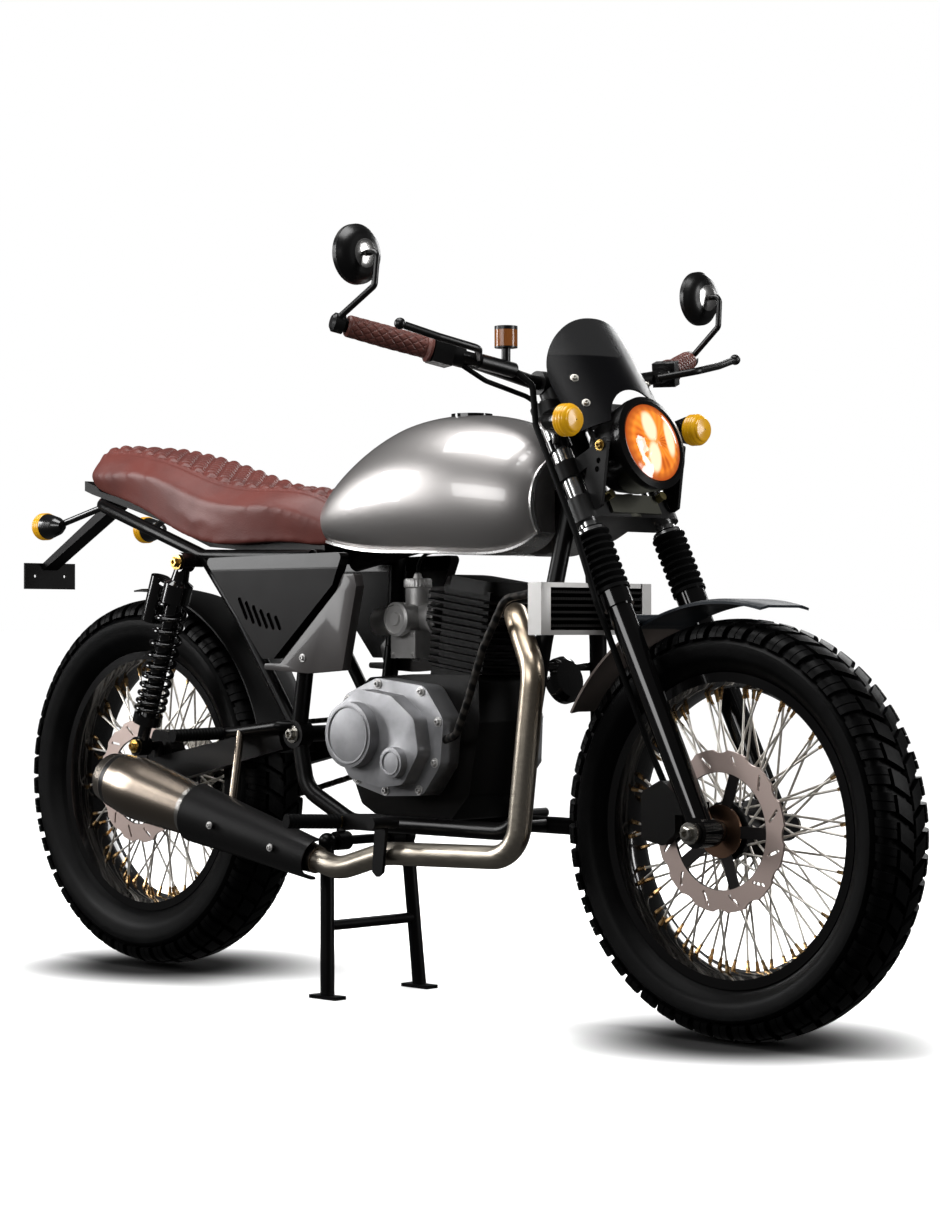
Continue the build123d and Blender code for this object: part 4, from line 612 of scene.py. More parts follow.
# Columns: finish, nodes that wear it
SHARED = (
    (frame_black, "frame swingarm centre_stand"),
    (satin_black, "lamp_brackets handlebar tail_bracket rear_fender foot_controls shock_springs"),
    (gloss_black, "horn filler_cap fork_sliders front_rim rear_rim shocks front_indicators"),
    (engine_black, "front_caliper rear_caliper crankcase cylinder"),
    (zinc, "front_axle rear_axle rear_sprocket chain"),
    (boot_rubber, "fork_boots control_cables grips seat front_tyre rear_tyre"),
    (lamp_black, "headlamp"), (seam_silver, "tank_seam"), (cover_grey, "engine_covers"),
    (alloy, "carburettor"), (chrome, "fork_tubes"), (trim_grey, "side_trims"), (smoked, "flyscreen"),
    (yoke_finish(), "yokes"), (tank_paint(), "fuel_tank"), (header_finish(), "exhaust_pipe"),
    (muffler_finish(), "muffler"), (carbon_finish(), "heat_shield"), (cover_finish(), "side_covers"),
    (fender_finish(), "front_fender"), (tail_finish(), "rear_lamps"), (lens_finish(), "headlamp_lens"),
    (cooler_finish(), "oil_cooler"), (mirror_finish(), "mirrors"), (control_finish(), "hand_controls"),
    (peg_finish(), "foot_pegs"), (instrument_finish(), "instrument"),
    (hub_finish("front_hub_lacing", FRONT_AXLE, FRONT_FLANGE), "front_hub"),
    (hub_finish("rear_hub_lacing", REAR_AXLE, REAR_FLANGE), "rear_hub"),
    (disc_finish("front_disc_steel", FRONT_AXLE, 0.088), "front_disc"),
    (disc_finish("rear_disc_steel", REAR_AXLE, 0.078), "rear_disc"),
)
FINISHES = {name: made for made, names in SHARED for name in names.split()}
for name, made in FINISHES.items():
    nodes[name].data.materials.clear()
    nodes[name].data.materials.append(made.material)
print("finishes on", len(FINISHES), "of", len(nodes), "nodes; bare:", sorted(set(nodes) - set(FINISHES)))

# %% [markdown]
# ## Smooth the solids' shading
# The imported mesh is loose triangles, so curved faces would show their facets. A Weld modifier
# joins them, smooth shading rounds them, and an Edge Split keeps real corners crisp. Cast covers
# have no sharp edges, so those few solids are bevelled as well.

# %% Weld and split every solid
CAST_SOLIDS = ("engine_covers", "crankcase", "side_trims")
WELD_REACH, CORNER = 0.00002, np.radians(32)
for node in nodes.values():
    node.data.polygons.foreach_set("use_smooth", np.ones(len(node.data.polygons), bool))
    weld = node.modifiers.new("weld", "WELD")
    weld.merge_threshold = WELD_REACH
    if node.name in CAST_SOLIDS:
        soft = node.modifiers.new("soft_edges", "BEVEL")
        soft.width, soft.segments, soft.angle_limit = 0.004, 3, np.radians(28)
        soft.use_clamp_overlap = True
    split = node.modifiers.new("corners", "EDGE_SPLIT")
    split.split_angle = CORNER
print("smoothed", len(nodes))


# %% [markdown]
# ## From a grid of numbers to a piece
# Every new surface below is a grid of points: one parameter runs along the rows, one along the
# columns, and each cell is a four-sided face. `skin` turns such a grid into faces, and `piece`
# gives the mesh its finish and the body that it rides on.

# %% Grid to mesh, mesh to piece
def skin(points, wrap_rows=False, wrap_columns=False, capped=False):
    """Faces of a (..., rows, columns, 3) stack of grids; wraps join the last line to the first.

    A cap closes the first and the last row of a tube with one face each.
    """
    points = np.asarray(points, float)
    points = points.reshape((-1,) + points.shape[-3:])
    count, rows, columns = points.shape[:3]
    row = np.arange(rows if wrap_rows else rows - 1)[:, None]
    column = np.arange(columns if wrap_columns else columns - 1)[None, :]
    below, beside = (row + 1) % rows, (column + 1) % columns
    cell = np.stack((row * columns + column, row * columns + beside, below * columns + beside,
                     below * columns + column), -1).reshape(-1, 4)
    shift = (np.arange(count) * rows * columns)[:, None, None]
    faces = (cell[None] + shift).reshape(-1, 4).tolist()
    if capped:
        ring = np.arange(columns)
        for start in shift.ravel():
            faces.append((start + ring[::-1]).tolist())
            faces.append((start + (rows - 1) * columns + ring).tolist())
    return points.reshape(-1, 3), faces


def joined(*skins):
    """One set of points and faces from several."""
    points, faces, start = [], [], 0
    for some, cells in skins:
        points.append(some)
        faces += [[index + start for index in cell] for cell in cells]
        start += len(some)
    return np.concatenate(points), faces


def piece(name, shape, body, made, instead_of=(), angle=35):
    """Puts points and faces into a mesh object that rides on a body."""
    mesh = bpy.data.meshes.new(name)
    mesh.from_pydata(shape[0].tolist(), [], shape[1])
    work = bmesh.new()
    work.from_mesh(mesh)
    bmesh.ops.recalc_face_normals(work, faces=work.faces)
    work.to_mesh(mesh)
    work.free()
    mesh.shade_smooth()
    mesh.set_sharp_from_angle(angle=np.radians(angle))
    mesh.materials.append(made.material)
    obj = bpy.data.objects.new(name, mesh)
    bpy.context.scene.collection.objects.link(obj)
    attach(obj, body)
    if instead_of:
        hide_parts(*instead_of)
    print(name, "points", len(mesh.vertices), "faces", len(mesh.polygons))
    return obj


def around(axis):
    """Two directions square to an axis, so that a ring can be drawn about it."""
    axis = unit(axis)
    first = unit(np.cross(axis, (0.3, 0.2, 1.0) if abs(axis[2]) < 0.9 else (1.0, 0.2, 0)))
    return first, np.cross(axis, first)


def full_turn(sides):
    """Angles of so many equal steps round a circle."""
    return np.linspace(0, 2 * np.pi, sides, endpoint=False)


def ring_on(angle, first, second):
    """Circle points between two directions: cos x first + sin x second, for rows of them too."""
    return np.cos(angle)[:, None] * first[..., None, :] + np.sin(angle)[:, None] * second[..., None, :]


def lathe(profile, origin, axis, sides=48):
    """Surface of revolution: rows follow (radius, height), columns go round the axis."""
    profile = np.asarray(profile, float)
    ring = ring_on(full_turn(sides), *around(axis))
    return profile[:, :1, None] * ring[None] + origin + profile[:, 1:, None] * unit(axis)


def turned(profile, origin, axis, sides=48):
    """A turned part, closed by a face at each end."""
    return skin(lathe(profile, origin, axis, sides), wrap_columns=True, capped=True)


def hoop(profile, origin, axis, sides=48):
    """A turned ring whose profile closes on itself."""
    return skin(lathe(profile, origin, axis, sides), wrap_rows=True, wrap_columns=True)


def tube(path, radius, sides=12):
    """Round bar: a circle carried along a path of points, square to its direction.

    The circle's frame starts square to the first step and is projected on along the path.
    """
    path = np.asarray(path, float)
    run = unit(np.gradient(path, axis=0))
    first, _ = around(run[0])
    lean = unit(first - (run @ first)[:, None] * run)
    return path[:, None] + radius * ring_on(full_turn(sides), lean, np.cross(run, lean))


# %% [markdown]
# ## Tyres with blocks
# A scrambler tyre has slanted blocks in two rows each side of the middle, cut apart by grooves.
# The section is one curve from rim to rim, carried round the axle. Grooves are steep, so the
# grid's lines are placed at the block edges and sheared to follow the slant, and the height is
# then a product of two pulses: one round the tyre, one across it.

# %% Section and block pattern
RIM_SEAT = 0.226
BLOCK_DEPTH, SIPE_DEPTH = 0.0085, 0.0028
MIDDLE_GROOVE, ROW_GROOVE, EDGE = 0.0022, 0.0050, 0.0008


def run_of(points):
    """Length along a line of points, from 0 at the first."""
    return np.concatenate(((0,), np.cumsum(np.linalg.norm(np.diff(points, axis=0), axis=1))))


def tyre_skin(axle, radius, width, rim_width, pitches):
    """Section points (y, r), lifted by blocks, turned about the axle.

    Height = depth x (pulse round the tyre) x (pulse across it) - sipe; the turn of each column
    is shifted by a slant that grows from the middle to the shoulder.
    """
    wall = radius - RIM_SEAT
    bead = rim_width / 2 - 0.0045
    knots = np.array((
        (0, radius), (width * 0.09, radius - wall * 0.002), (width * 0.26, radius - wall * 0.035),
        (width * 0.40, radius - wall * 0.10), (width * 0.472, radius - wall * 0.20),
        (width * 0.499, radius - wall * 0.42), (width * 0.47, RIM_SEAT + wall * 0.34),
        (rim_width / 2 + 0.004, 0.2415), (bead, 0.2385), (bead, 0.2265)))
    length = run_of(knots)
    fine = np.linspace(0, length[-1], 600)
    curve = np.stack([np.interp(fine, length, knots[:, k]) for k in (0, 1)], 1)
    padded = [np.pad(curve[:, k], 24, "reflect", reflect_type="odd") for k in (0, 1)]
    soft = np.stack([np.convolve(line, np.ones(49) / 49, "valid") for line in padded], 1)
    shoulder = length[4] + 0.010
    middle, gap = MIDDLE_GROOVE, ROW_GROOVE
    split = shoulder * 0.43
    outer_row = split + gap
    across = np.concatenate((
        (0, middle, middle + EDGE), np.linspace(0.008, split - 0.006, 4),
        (split - EDGE, split, outer_row, outer_row + EDGE),
        np.linspace(outer_row + 0.006, shoulder - 0.006, 6), (shoulder - EDGE, shoulder + EDGE / 2),
        np.linspace(shoulder + 0.004, length[-1], 17)))
    edges = (middle, middle + EDGE, split - EDGE, split, outer_row, outer_row + EDGE, shoulder - EDGE,
             shoulder + EDGE / 2)
    pulse_across = np.interp(across, edges, (0, 1, 1, 0, 0, 1, 1, 0))
    y = np.interp(across, fine, soft[:, 0])
    r = np.interp(across, fine, soft[:, 1])
    slope = np.gradient(np.stack((y, r), 1), across, axis=0)
    slope /= np.linalg.norm(slope, axis=1)[:, None] + 1e-9
    out = np.stack((-slope[:, 1], slope[:, 0]), 1)
    tread = 1 - np.clip((across - shoulder) / 0.006, 0, 1)
    slant = np.interp(across, (0, split, outer_row, shoulder), (0.0, 0.50, 0.56, 0.74))
    outer = np.clip((across - split - gap / 2) * 1e5, 0, 1)
    half = (y, r, out, pulse_across, tread, slant, outer)
    y, r, pulse_across, tread, slant, outer = (
        np.concatenate((-a[:0:-1] if k == 0 else a[:0:-1], a)) for k, a in enumerate(half[:2] + half[3:]))
    out = np.concatenate((half[2][:0:-1] * (-1, 1), half[2]))
    right = np.arange(len(y)) < len(half[0]) - 1
    step = np.array((0, 0.022, 0.30, 0.335, 0.345, 0.375, 0.385, 0.42, 0.70, 0.722, 0.86))
    turn = (np.arange(pitches)[:, None] + step[None]).ravel()
    local = np.tile(step, pitches)
    pulse_round = np.interp(local, (0, 0.022, 0.70, 0.722, 1), (0, 1, 1, 0, 0))
    sipe = np.interp(local, (0.335, 0.345, 0.375, 0.385), (0, 1, 1, 0))
    rise = BLOCK_DEPTH * pulse_round[:, None] * pulse_across[None]
    rise = rise - SIPE_DEPTH * sipe[:, None] * (pulse_across * outer)[None]
    lift = rise - BLOCK_DEPTH * tread[None]
    angle = (turn[:, None] + slant[None] + 0.5 * right[None]) * 2 * np.pi / pitches
    far = r[None] + out[:, 1][None] * lift
    side = y[None] + out[:, 0][None] * lift
    points = np.stack((axle[0] + far * np.cos(angle), axle[1] + side, axle[2] + far * np.sin(angle)), -1)
    return skin(points, wrap_rows=True)


tyre_rubber = rubbery("tyre_rubber", (0.0013, 0.0013, 0.0014), 0.40, 0.35)
# Columns: node, axle, radius, width, rim width, pitches, body
TYRES = (
    ("front_tyre", FRONT_AXLE, 0.318, 0.120, 0.074, 50, "front_wheel"),
    ("rear_tyre", REAR_AXLE, 0.336, 0.134, 0.088, 52, "rear_wheel"),
)
for name, axle, radius, width, rim_width, pitches, body in TYRES:
    blocks = tyre_skin(axle, radius, width, rim_width, pitches)
    piece(name + "_blocks", blocks, body, tyre_rubber, (name,), 28)


# %% [markdown]
# ## The quilted seat
# The seat is foam under stitched hide. A copy of its solid is remeshed into even cells, puffed
# by cloth pressure so that the sides swell between the corners, and then quilted: the top sinks
# along two families of slanted lines, which cross in diamonds, inside a seam that runs round it.

# %% Puff the pad
SEAT_X = np.array((-0.796, -0.775, -0.715, -0.585, -0.440, -0.320, -0.190, -0.124))
SEAT_TOP_HALF = np.array((0.042, 0.058, 0.070, 0.076, 0.078, 0.074, 0.062, 0.050))
QUILT, QUILT_STRETCH = 0.037, 1.04


def baked(obj):
    """The mesh of an object with its modifiers worked in."""
    return bpy.data.meshes.new_from_object(obj.evaluated_get(bpy.context.evaluated_depsgraph_get()))


def numbers(mesh, what="co"):
    """Points or normals of a mesh as an array of rows."""
    flat = np.empty(len(mesh.vertices) * 3, np.float32)
    mesh.vertices.foreach_get(what, flat)
    return flat.reshape(-1, 3).astype(float)


def puffed(node, name, voxel=0.005, cap=0.004):
    """Even copy of a soft solid, swollen by cloth pressure for 20 frames, moved by cap at most.

    A last smoothing takes out the small folds that the cloth leaves between the cells.
    """
    copy = nodes[node].data.copy()
    work = bmesh.new()
    work.from_mesh(copy)
    bmesh.ops.remove_doubles(work, verts=work.verts, dist=1e-5)
    work.to_mesh(copy)
    work.free()
    pad = bpy.data.objects.new(name, copy)
    bpy.context.scene.collection.objects.link(pad)
    even = pad.modifiers.new("even", "REMESH")
    even.mode, even.voxel_size = "VOXEL", voxel
    soften = pad.modifiers.new("soften", "SMOOTH")
    soften.factor, soften.iterations = 0.5, 6
    pad.data = baked(pad)
    pad.modifiers.clear()
    start, facing = numbers(pad.data), numbers(pad.data, "normal")
    free = np.clip((facing[:, 2:] + 0.75) / 0.5, 0, 1)
    cloth = pad.modifiers.new("cloth", "CLOTH")
    cloth.settings.use_pressure = True
    cloth.settings.uniform_pressure_force = 4
    cloth.settings.effector_weights.gravity = 0
    for step in range(1, 21):
        bpy.context.scene.frame_set(step)
    shift = numbers(baked(pad)) - start
    pad.modifiers.clear()
    bpy.context.scene.frame_set(1)
    far = np.linalg.norm(shift, axis=1)[:, None] + 1e-9
    start = start + shift / far * np.minimum(far, cap) * free
    pad.data.vertices.foreach_set("co", start.astype(np.float32).ravel())
    print("pad swelled by up to", round(float(min(far.max(), cap)) * 1000, 1), "mm")
    settle = pad.modifiers.new("settle", "SMOOTH")
    settle.factor, settle.iterations = 0.5, 14
    finer = pad.modifiers.new("finer", "SUBSURF")
    finer.levels = finer.render_levels = 1
    pad.data = baked(pad)
    pad.modifiers.clear()
    return pad


# %% Sew the quilting
def lattice(u, v, size):
    """Distance to the nearer of two families of slanted lines, in metres."""
    first, second = (u + v) / size, (u - v) / size
    near = np.minimum(np.abs(first - np.round(first)), np.abs(second - np.round(second)))
    return near * size / np.sqrt(2)


def soft_step(value, low, high):
    """0 below low, 1 above high, smooth between."""
    t = np.clip((value - low) / (high - low), 0, 1)
    return t * t * (3 - 2 * t)


seat_pad = puffed("seat", "seat_pad")
spot, facing = numbers(seat_pad.data), numbers(seat_pad.data, "normal")
edge = np.interp(spot[:, 0], SEAT_X, SEAT_TOP_HALF) + 0.012
inside = edge - np.abs(spot[:, 1])
top = soft_step(facing[:, 2], 0.35, 0.6)
quilted = soft_step(inside, 0.002, 0.010) * soft_step(spot[:, 0], -0.778, -0.766) * top
stitch = lattice(spot[:, 0] * QUILT_STRETCH, spot[:, 1], QUILT)
seam = np.exp(-(inside / 0.0030) ** 2) * soft_step(facing[:, 2], -0.1, 0.3)
groove = 0.0042 * np.exp(-(stitch / 0.0040) ** 2) - 0.0016 * soft_step(stitch, 0.003, 0.013)
sink = quilted * groove + 0.0018 * seam
seat_pad.data.vertices.foreach_set("co", (spot - facing * sink[:, None]).astype(np.float32).ravel())
seat_pad.data.shade_smooth()
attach(seat_pad, "chassis")
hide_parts("seat")
print("seat pad faces", len(seat_pad.data.polygons))

# %% [markdown]
# Hide is a network of tiny cells with pores between them, redder in some blotches and darker in
# others. The thread follows the same slanted lines as the quilting, broken into stitches.

# %% Red-brown hide
def hide(name, light, dark, sewn=True):
    """Grained leather: cells, blotches and, on the seat's top, rows of thread."""
    made = Finish(name, specular_ior_level=0.4)
    blotch = made.noise(11, 6)
    pore = made.cells(620)
    colour = made.mix(blotch.ease(0.3, 0.75), light, dark)
    height = pore * 0.8 + made.noise(2400, 2) * 0.3
    if sewn:
        u, v = made.x * (QUILT_STRETCH / QUILT), made.y * (1 / QUILT)
        first, second = abs((u + v + 0.5).fract() - 0.5), abs((u - v + 0.5).fract() - 0.5)
        line = 1 - first.least(second).ease(0.018, 0.030)
        crown = (abs(made.y) < 0.084) * (made.z > 0.845) * (made.x > -0.768)
        thread = line * ((u * 11).fract() > 0.28) * crown
        colour = made.mix(thread * 0.6, colour, tuple(min(1, c * 1.5 + 0.02) for c in light))
        height = height + thread * 1.4
    made.set("Base Color", colour)
    made.set("Roughness", 0.46 + (blotch - 0.5) * 0.2)
    return made.relief(height, 0.35, 0.0006)


seat_hide = hide("seat_hide", (0.150, 0.038, 0.030), (0.105, 0.026, 0.021))
seat_pad.data.materials.clear()
seat_pad.data.materials.append(seat_hide.material)

# %% [markdown]
# ## Springs, grips and chain
# A spring is a circle carried along a helix, wound closer at its foot, as progressive springs
# are. A grip is a turned sleeve whose radius dips along crossing spirals. A chain is one link
# repeated along the loop round both sprockets: plates in pairs, wide and narrow by turns.

# %% Coil springs
COIL_LOW, COIL_HIGH, COIL_WIRE = 0.0665, 0.2682, 0.0042


def coil_path(foot, turns=10.5, ring=0.0245, steps=520):
    """Helix about the damper: the turn grows evenly, the height slowly at first."""
    share = np.linspace(0, 1, steps)
    height = COIL_LOW + (COIL_HIGH - COIL_LOW) * (0.55 * share + 0.45 * share ** 1.8)
    angle = share * turns * 2 * np.pi
    return foot + height[:, None] * SHOCK_RUN + ring * ring_on(angle, *around(SHOCK_RUN))


def wire(path, centre_line, radius, sides=10):
    """Circle along a path that winds round an axis; the frame looks away from the axis."""
    run = unit(np.gradient(path, axis=0))
    outward = path - centre_line
    outward = unit(outward - (outward * run).sum(1)[:, None] * run)
    return path[:, None] + radius * ring_on(full_turn(sides), outward, np.cross(run, outward))


coils = []
for side in (1, -1):
    foot = SHOCK_LOW + LEFT * SHOCK_Y * side
    path = coil_path(foot)
    line = foot + ((path - foot) @ SHOCK_RUN)[:, None] * SHOCK_RUN
    coils.append(skin(wire(path, line, COIL_WIRE), wrap_columns=True, capped=True))
piece("shock_coils", joined(*coils), "chassis", gloss_black, ("shock_springs",), 60)

# %% Knurled grips
GRIP_IN = np.array((0.316, -0.280, 1.050))
GRIP_OUT = np.array((0.256, -0.400, 1.081))
REACH = unit(GRIP_OUT - GRIP_IN)
KNURL_PITCH, KNURLS, KNURL_DEPTH = 0.017, 8, 0.0017


def grip_skin(side):
    """Turned sleeve: radius = profile - depth along two spirals that cross in diamonds."""
    length = np.linalg.norm(GRIP_OUT - GRIP_IN)
    run = np.concatenate(((0, 0.0001), np.linspace(0.001, 0.0045, 4),
                          np.linspace(0.006, length - 0.0015, 150), (length - 0.0001, length)))
    stops = (0, 0.0001, 0.001, 0.0045, 0.0085, length / 2, length - 0.003, length - 0.0001, length)
    shape = np.interp(run, stops, (0.0111, 0.0208, 0.0218, 0.0218, 0.0170, 0.0178, 0.0170, 0.0152, 0.0111))
    angle = full_turn(96)
    first = run[:, None] / KNURL_PITCH + angle[None] * KNURLS / (2 * np.pi)
    second = run[:, None] / KNURL_PITCH - angle[None] * KNURLS / (2 * np.pi)
    near = np.minimum(np.abs(first - np.round(first)), np.abs(second - np.round(second)))
    zone = soft_step(run, 0.011, 0.014) * (1 - soft_step(run, length - 0.008, length - 0.005))
    radius = shape[:, None] - zone[:, None] * KNURL_DEPTH * np.exp(-(near / 0.11) ** 2)
    ring = ring_on(angle, *around(REACH))
    points = GRIP_IN + run[:, None, None] * REACH + radius[:, :, None] * ring[None]
    return skin(points * (1, side, 1), wrap_rows=True, wrap_columns=True)


grip_hide = hide("grip_rubber", (0.155, 0.052, 0.040), (0.095, 0.030, 0.024), sewn=False)
piece("grip_sleeves", joined(grip_skin(1), grip_skin(-1)), "steering", grip_hide, ("grips",), 40)

# %% Chain links
CHAIN_Y, CHAIN_PITCH, PIN_R, PLATE_HALF = 0.077, 0.0159, 0.0036, 0.0056
# Columns: which of two links by turns, inner and outer face of its plates from the chain's middle
PLATES = ((0, 0.0018, 0.0032), (1, 0.0034, 0.0048))


def chain_loop(pitch):
    """Points every pitch along the loop, two straights and two arcs, and the pitch that fits."""
    small, big = np.array((-0.070, 0.442)), REAR_AXLE[::2]
    small_r, big_r = 0.036, 0.088
    gap = big - small
    base = np.arctan2(gap[1], gap[0])
    lean = np.arccos((small_r - big_r) / np.linalg.norm(gap))
    far = np.linspace(base + lean, base - lean, 200)
    near = np.linspace(base - lean, base + lean - 2 * np.pi, 120)
    loop = np.concatenate((big + big_r * np.stack((np.cos(far), np.sin(far)), 1),
                           small + small_r * np.stack((np.cos(near), np.sin(near)), 1)))
    loop = np.concatenate((loop, loop[:1]))
    length = run_of(loop)
    count = 2 * int(round(length[-1] / pitch / 2))
    spot = np.arange(count) * length[-1] / count
    point = np.stack([np.interp(spot, length, loop[:, k]) for k in (0, 1)], 1)
    return point, length[-1] / count


def layers(outlines, heights):
    """Closed slabs: each outline of x and z stands at the first and at the second height in y."""
    sheets = [np.insert(outlines, 1, y, axis=-1) for y in heights]
    return skin(np.stack(sheets, 1), wrap_columns=True, capped=True)


def link_stack(point, pitch):
    """Plates: an oval drawn in at the waist, between neighbouring pins, in two thin layers."""
    after = np.roll(point, -1, axis=0)
    middle, run = (point + after) / 2, unit(after - point)
    up = np.stack((-run[:, 1], run[:, 0]), 1)
    angle = full_turn(18)
    along = np.sign(np.cos(angle)) * pitch / 2 + PLATE_HALF * np.cos(angle)
    high = PLATE_HALF * np.sin(angle) * (0.76 + 0.24 * np.abs(np.cos(angle)))
    flat = middle[:, None] + along[None, :, None] * run[:, None] + high[None, :, None] * up[:, None]
    stacks = []
    for which, inner, outer in PLATES:
        for heights in ((CHAIN_Y + inner, CHAIN_Y + outer), (CHAIN_Y - outer, CHAIN_Y - inner)):
            stacks.append(layers(flat[which::2], heights))
    ring = full_turn(10)
    pins = point[:, None] + PIN_R * np.stack((np.cos(ring), np.sin(ring)), -1)[None]
    return joined(*stacks, layers(pins, (CHAIN_Y - 0.0048, CHAIN_Y + 0.0048)))


pins, fitted_pitch = chain_loop(CHAIN_PITCH)
chain_steel = polished("chain_steel", (0.20, 0.185, 0.165), 0.34)
piece("chain_links", link_stack(pins, fitted_pitch), "chassis", chain_steel, ("chain",))

# %% [markdown]
# ## Nipples at the rim
# Every spoke ends in a brass nipple that pulls it tight. The lacing is known by rule: each spoke
# leaves the flange and reaches the rim some degrees further round, leaning by turns to either
# side. One short six-sided barrel, placed at every spoke's end at once, makes the whole ring.

# %% Brass nipples
SPOKES_PER_SIDE = 36
RIM_IN, RIM_Y, LACING = 0.2128, 0.009, 38
# Columns: reach from the rim along the spoke, radius of the barrel
BARREL = ((-0.0015, 0.0038), (0.004, 0.0038), (0.005, 0.0031), (0.015, 0.0028))


def nipple_stack(axle, flange_y, flange_r):
    """Six-sided barrels along the last 15 mm of each spoke, all computed as one array."""
    index = np.arange(SPOKES_PER_SIDE)
    lean = np.where(index % 2, 1, -1)
    stacks = []
    for side in (1, -1):
        at_hub = np.radians(360 / SPOKES_PER_SIDE * (index + 0.25 * side))
        at_rim = at_hub + np.radians(LACING * lean)
        hub_r = flange_r - 0.005
        low = np.stack((hub_r * np.cos(at_hub), side * (flange_y + 0.004 * lean), hub_r * np.sin(at_hub)), 1)
        high = np.stack((RIM_IN * np.cos(at_rim), side * (RIM_Y + 0.004 * lean), RIM_IN * np.sin(at_rim)), 1)
        run = unit(low - high)
        one = unit(np.cross(run, LEFT))
        ring = ring_on(full_turn(6), one, np.cross(run, one))
        rows = [axle + high[:, None] + reach * run[:, None] + wide * ring for reach, wide in BARREL]
        stacks.append(skin(np.stack(rows, 1), wrap_columns=True, capped=True))
    return joined(*stacks)


piece("front_nipples", nipple_stack(FRONT_AXLE, 0.033, FRONT_FLANGE), "front_wheel", brass)
piece("rear_nipples", nipple_stack(REAR_AXLE, 0.036, REAR_FLANGE), "rear_wheel", brass)

# %% [markdown]
# ## Bolts and bands
# Fasteners make a machine look assembled. A bolt is a washer and a six-sided head on one axis,
# so a table of places and directions is enough. Each row of the table sits on a solid's face.

# %% Bolt heads
def bolt_stack(rows):
    """Washer and chamfered six-sided head for each row: place, direction, radius in metres."""
    parts = []
    for place, way, size in rows:
        washer = ((size * 1.5, -0.001), (size * 1.5, size * 0.22), (size * 0.9, size * 0.26))
        head = ((size, -0.001), (size, size * 0.85), (size * 0.82, size * 1.05))
        socket = ((size * 0.52, size * 1.06), (size * 0.5, size * 0.5))
        parts += [turned(washer, place, way, 18), turned(head + socket, place, way, 6)]
    return joined(*parts)


# Columns: side, y of the face, middle of the cover, rim of the cover in millimetres
COVERS = (
    (-1, 0.112, (0.052, 0.440), ((-74, 420), (-34, 364), (40, 346), (128, 350), (168, 400), (176, 474),
                                 (132, 528), (20, 540), (-60, 510))),
    (1, 0.110, (0.098, 0.434), ((10, 380), (56, 346), (142, 350), (184, 400), (188, 480), (146, 524),
                                (56, 524), (10, 490))),
)
BOLT_CIRCLE = 0.90
cover_bolts = []
for side, face, middle, rim in COVERS:
    for x, z in np.array(middle) + (np.array(rim) / 1000 - middle) * BOLT_CIRCLE:
        cover_bolts.append(((x, side * face, z), (0, side, 0), 0.0055))
for step, out in ((0.070, 0.0436), (0.210, 0.0531)):
    cover_bolts.append((MUFFLER_IN + MUFFLER_RUN * step + (0, -out, 0.004), (0, -1, 0), 0.0042))
for side in (1, -1):
    cover_bolts.append(((-0.140, side * 0.1318, 0.572), (0, side, 0), 0.0048))
piece("cover_bolts", bolt_stack(cover_bolts), "chassis", alloy)

gold_chassis, gold_steering = [], []
for side in (1, -1):
    gold_chassis.append(((SHOCK_TOP[0], side * 0.156, SHOCK_TOP[2]), (0, side, 0), 0.009))
    gold_chassis.append(((SHOCK_LOW[0], side * 0.156, SHOCK_LOW[2]), (0, side, 0), 0.008))
    gold_chassis.append(((-0.015, side * 0.1655, 0.304), (0, side, 0), 0.007))
    ear = LAMP_AT - LAMP_RUN * 0.026
    gold_steering.append(((ear[0], side * 0.093, ear[2]), (0, side, 0), 0.006))
piece("gold_bolts", bolt_stack(gold_chassis), "chassis", gold)
piece("gold_lamp_bolts", bolt_stack(gold_steering), "steering", gold)
axle_nuts = [((FRONT_AXLE[0], side * 0.122, FRONT_AXLE[2]), (0, side, 0), 0.011) for side in (1, -1)]
piece("axle_nuts", bolt_stack(axle_nuts), "steering", zinc)
pivot_nuts = [((-0.185, side * 0.114, 0.442), (0, side, 0), 0.010) for side in (1, -1)]
piece("pivot_nuts", bolt_stack(pivot_nuts), "chassis", zinc)

SCREEN_FOOT = np.array((0.500, 0, 0.968))
SCREEN_LEAN = np.radians(35)
SCREEN_UP = np.array((-np.sin(SCREEN_LEAN), 0, np.cos(SCREEN_LEAN)))
SCREEN_OUT = np.array((np.cos(SCREEN_LEAN), 0, np.sin(SCREEN_LEAN)))
SCREEN_R = 0.150
LAMP_CUT_R, LAMP_CUT_DROP, CORNER_DROP = 0.068, 0.034, 0.020


def screen_sheet(half=0.114, thick=0.003):
    """Bent sheet: its foot follows the lamp's circle, its top a flattened oval.

    Rows rise from foot to top on the outer face and come back on the inner one; the sheet lies on
    a cylinder, so a point that is y from the middle falls back by R - sqrt(R^2 - y^2).
    """
    share = np.sin(np.linspace(-1, 1, 65) * np.pi / 2)
    y = half * share
    foot = np.maximum(-CORNER_DROP, np.sqrt(np.maximum(LAMP_CUT_R ** 2 - y ** 2, 0)) - LAMP_CUT_DROP)
    top = 0.066 + 0.110 * (1 - np.abs(share) ** 2.7) ** (1 / 2.1)
    height = foot + (top - foot) * np.linspace(0, 1, 28)[:, None]
    back = SCREEN_R - np.sqrt(SCREEN_R ** 2 - y ** 2)
    faces = []
    for depth, rows in ((back, height), (back + thick * (1 - share ** 16), height[::-1])):
        fall = depth[None, :, None] * SCREEN_OUT
        faces.append(SCREEN_FOOT + rows[..., None] * SCREEN_UP - fall + y[None, :, None] * LEFT)
    return skin(np.concatenate(faces), wrap_rows=True)


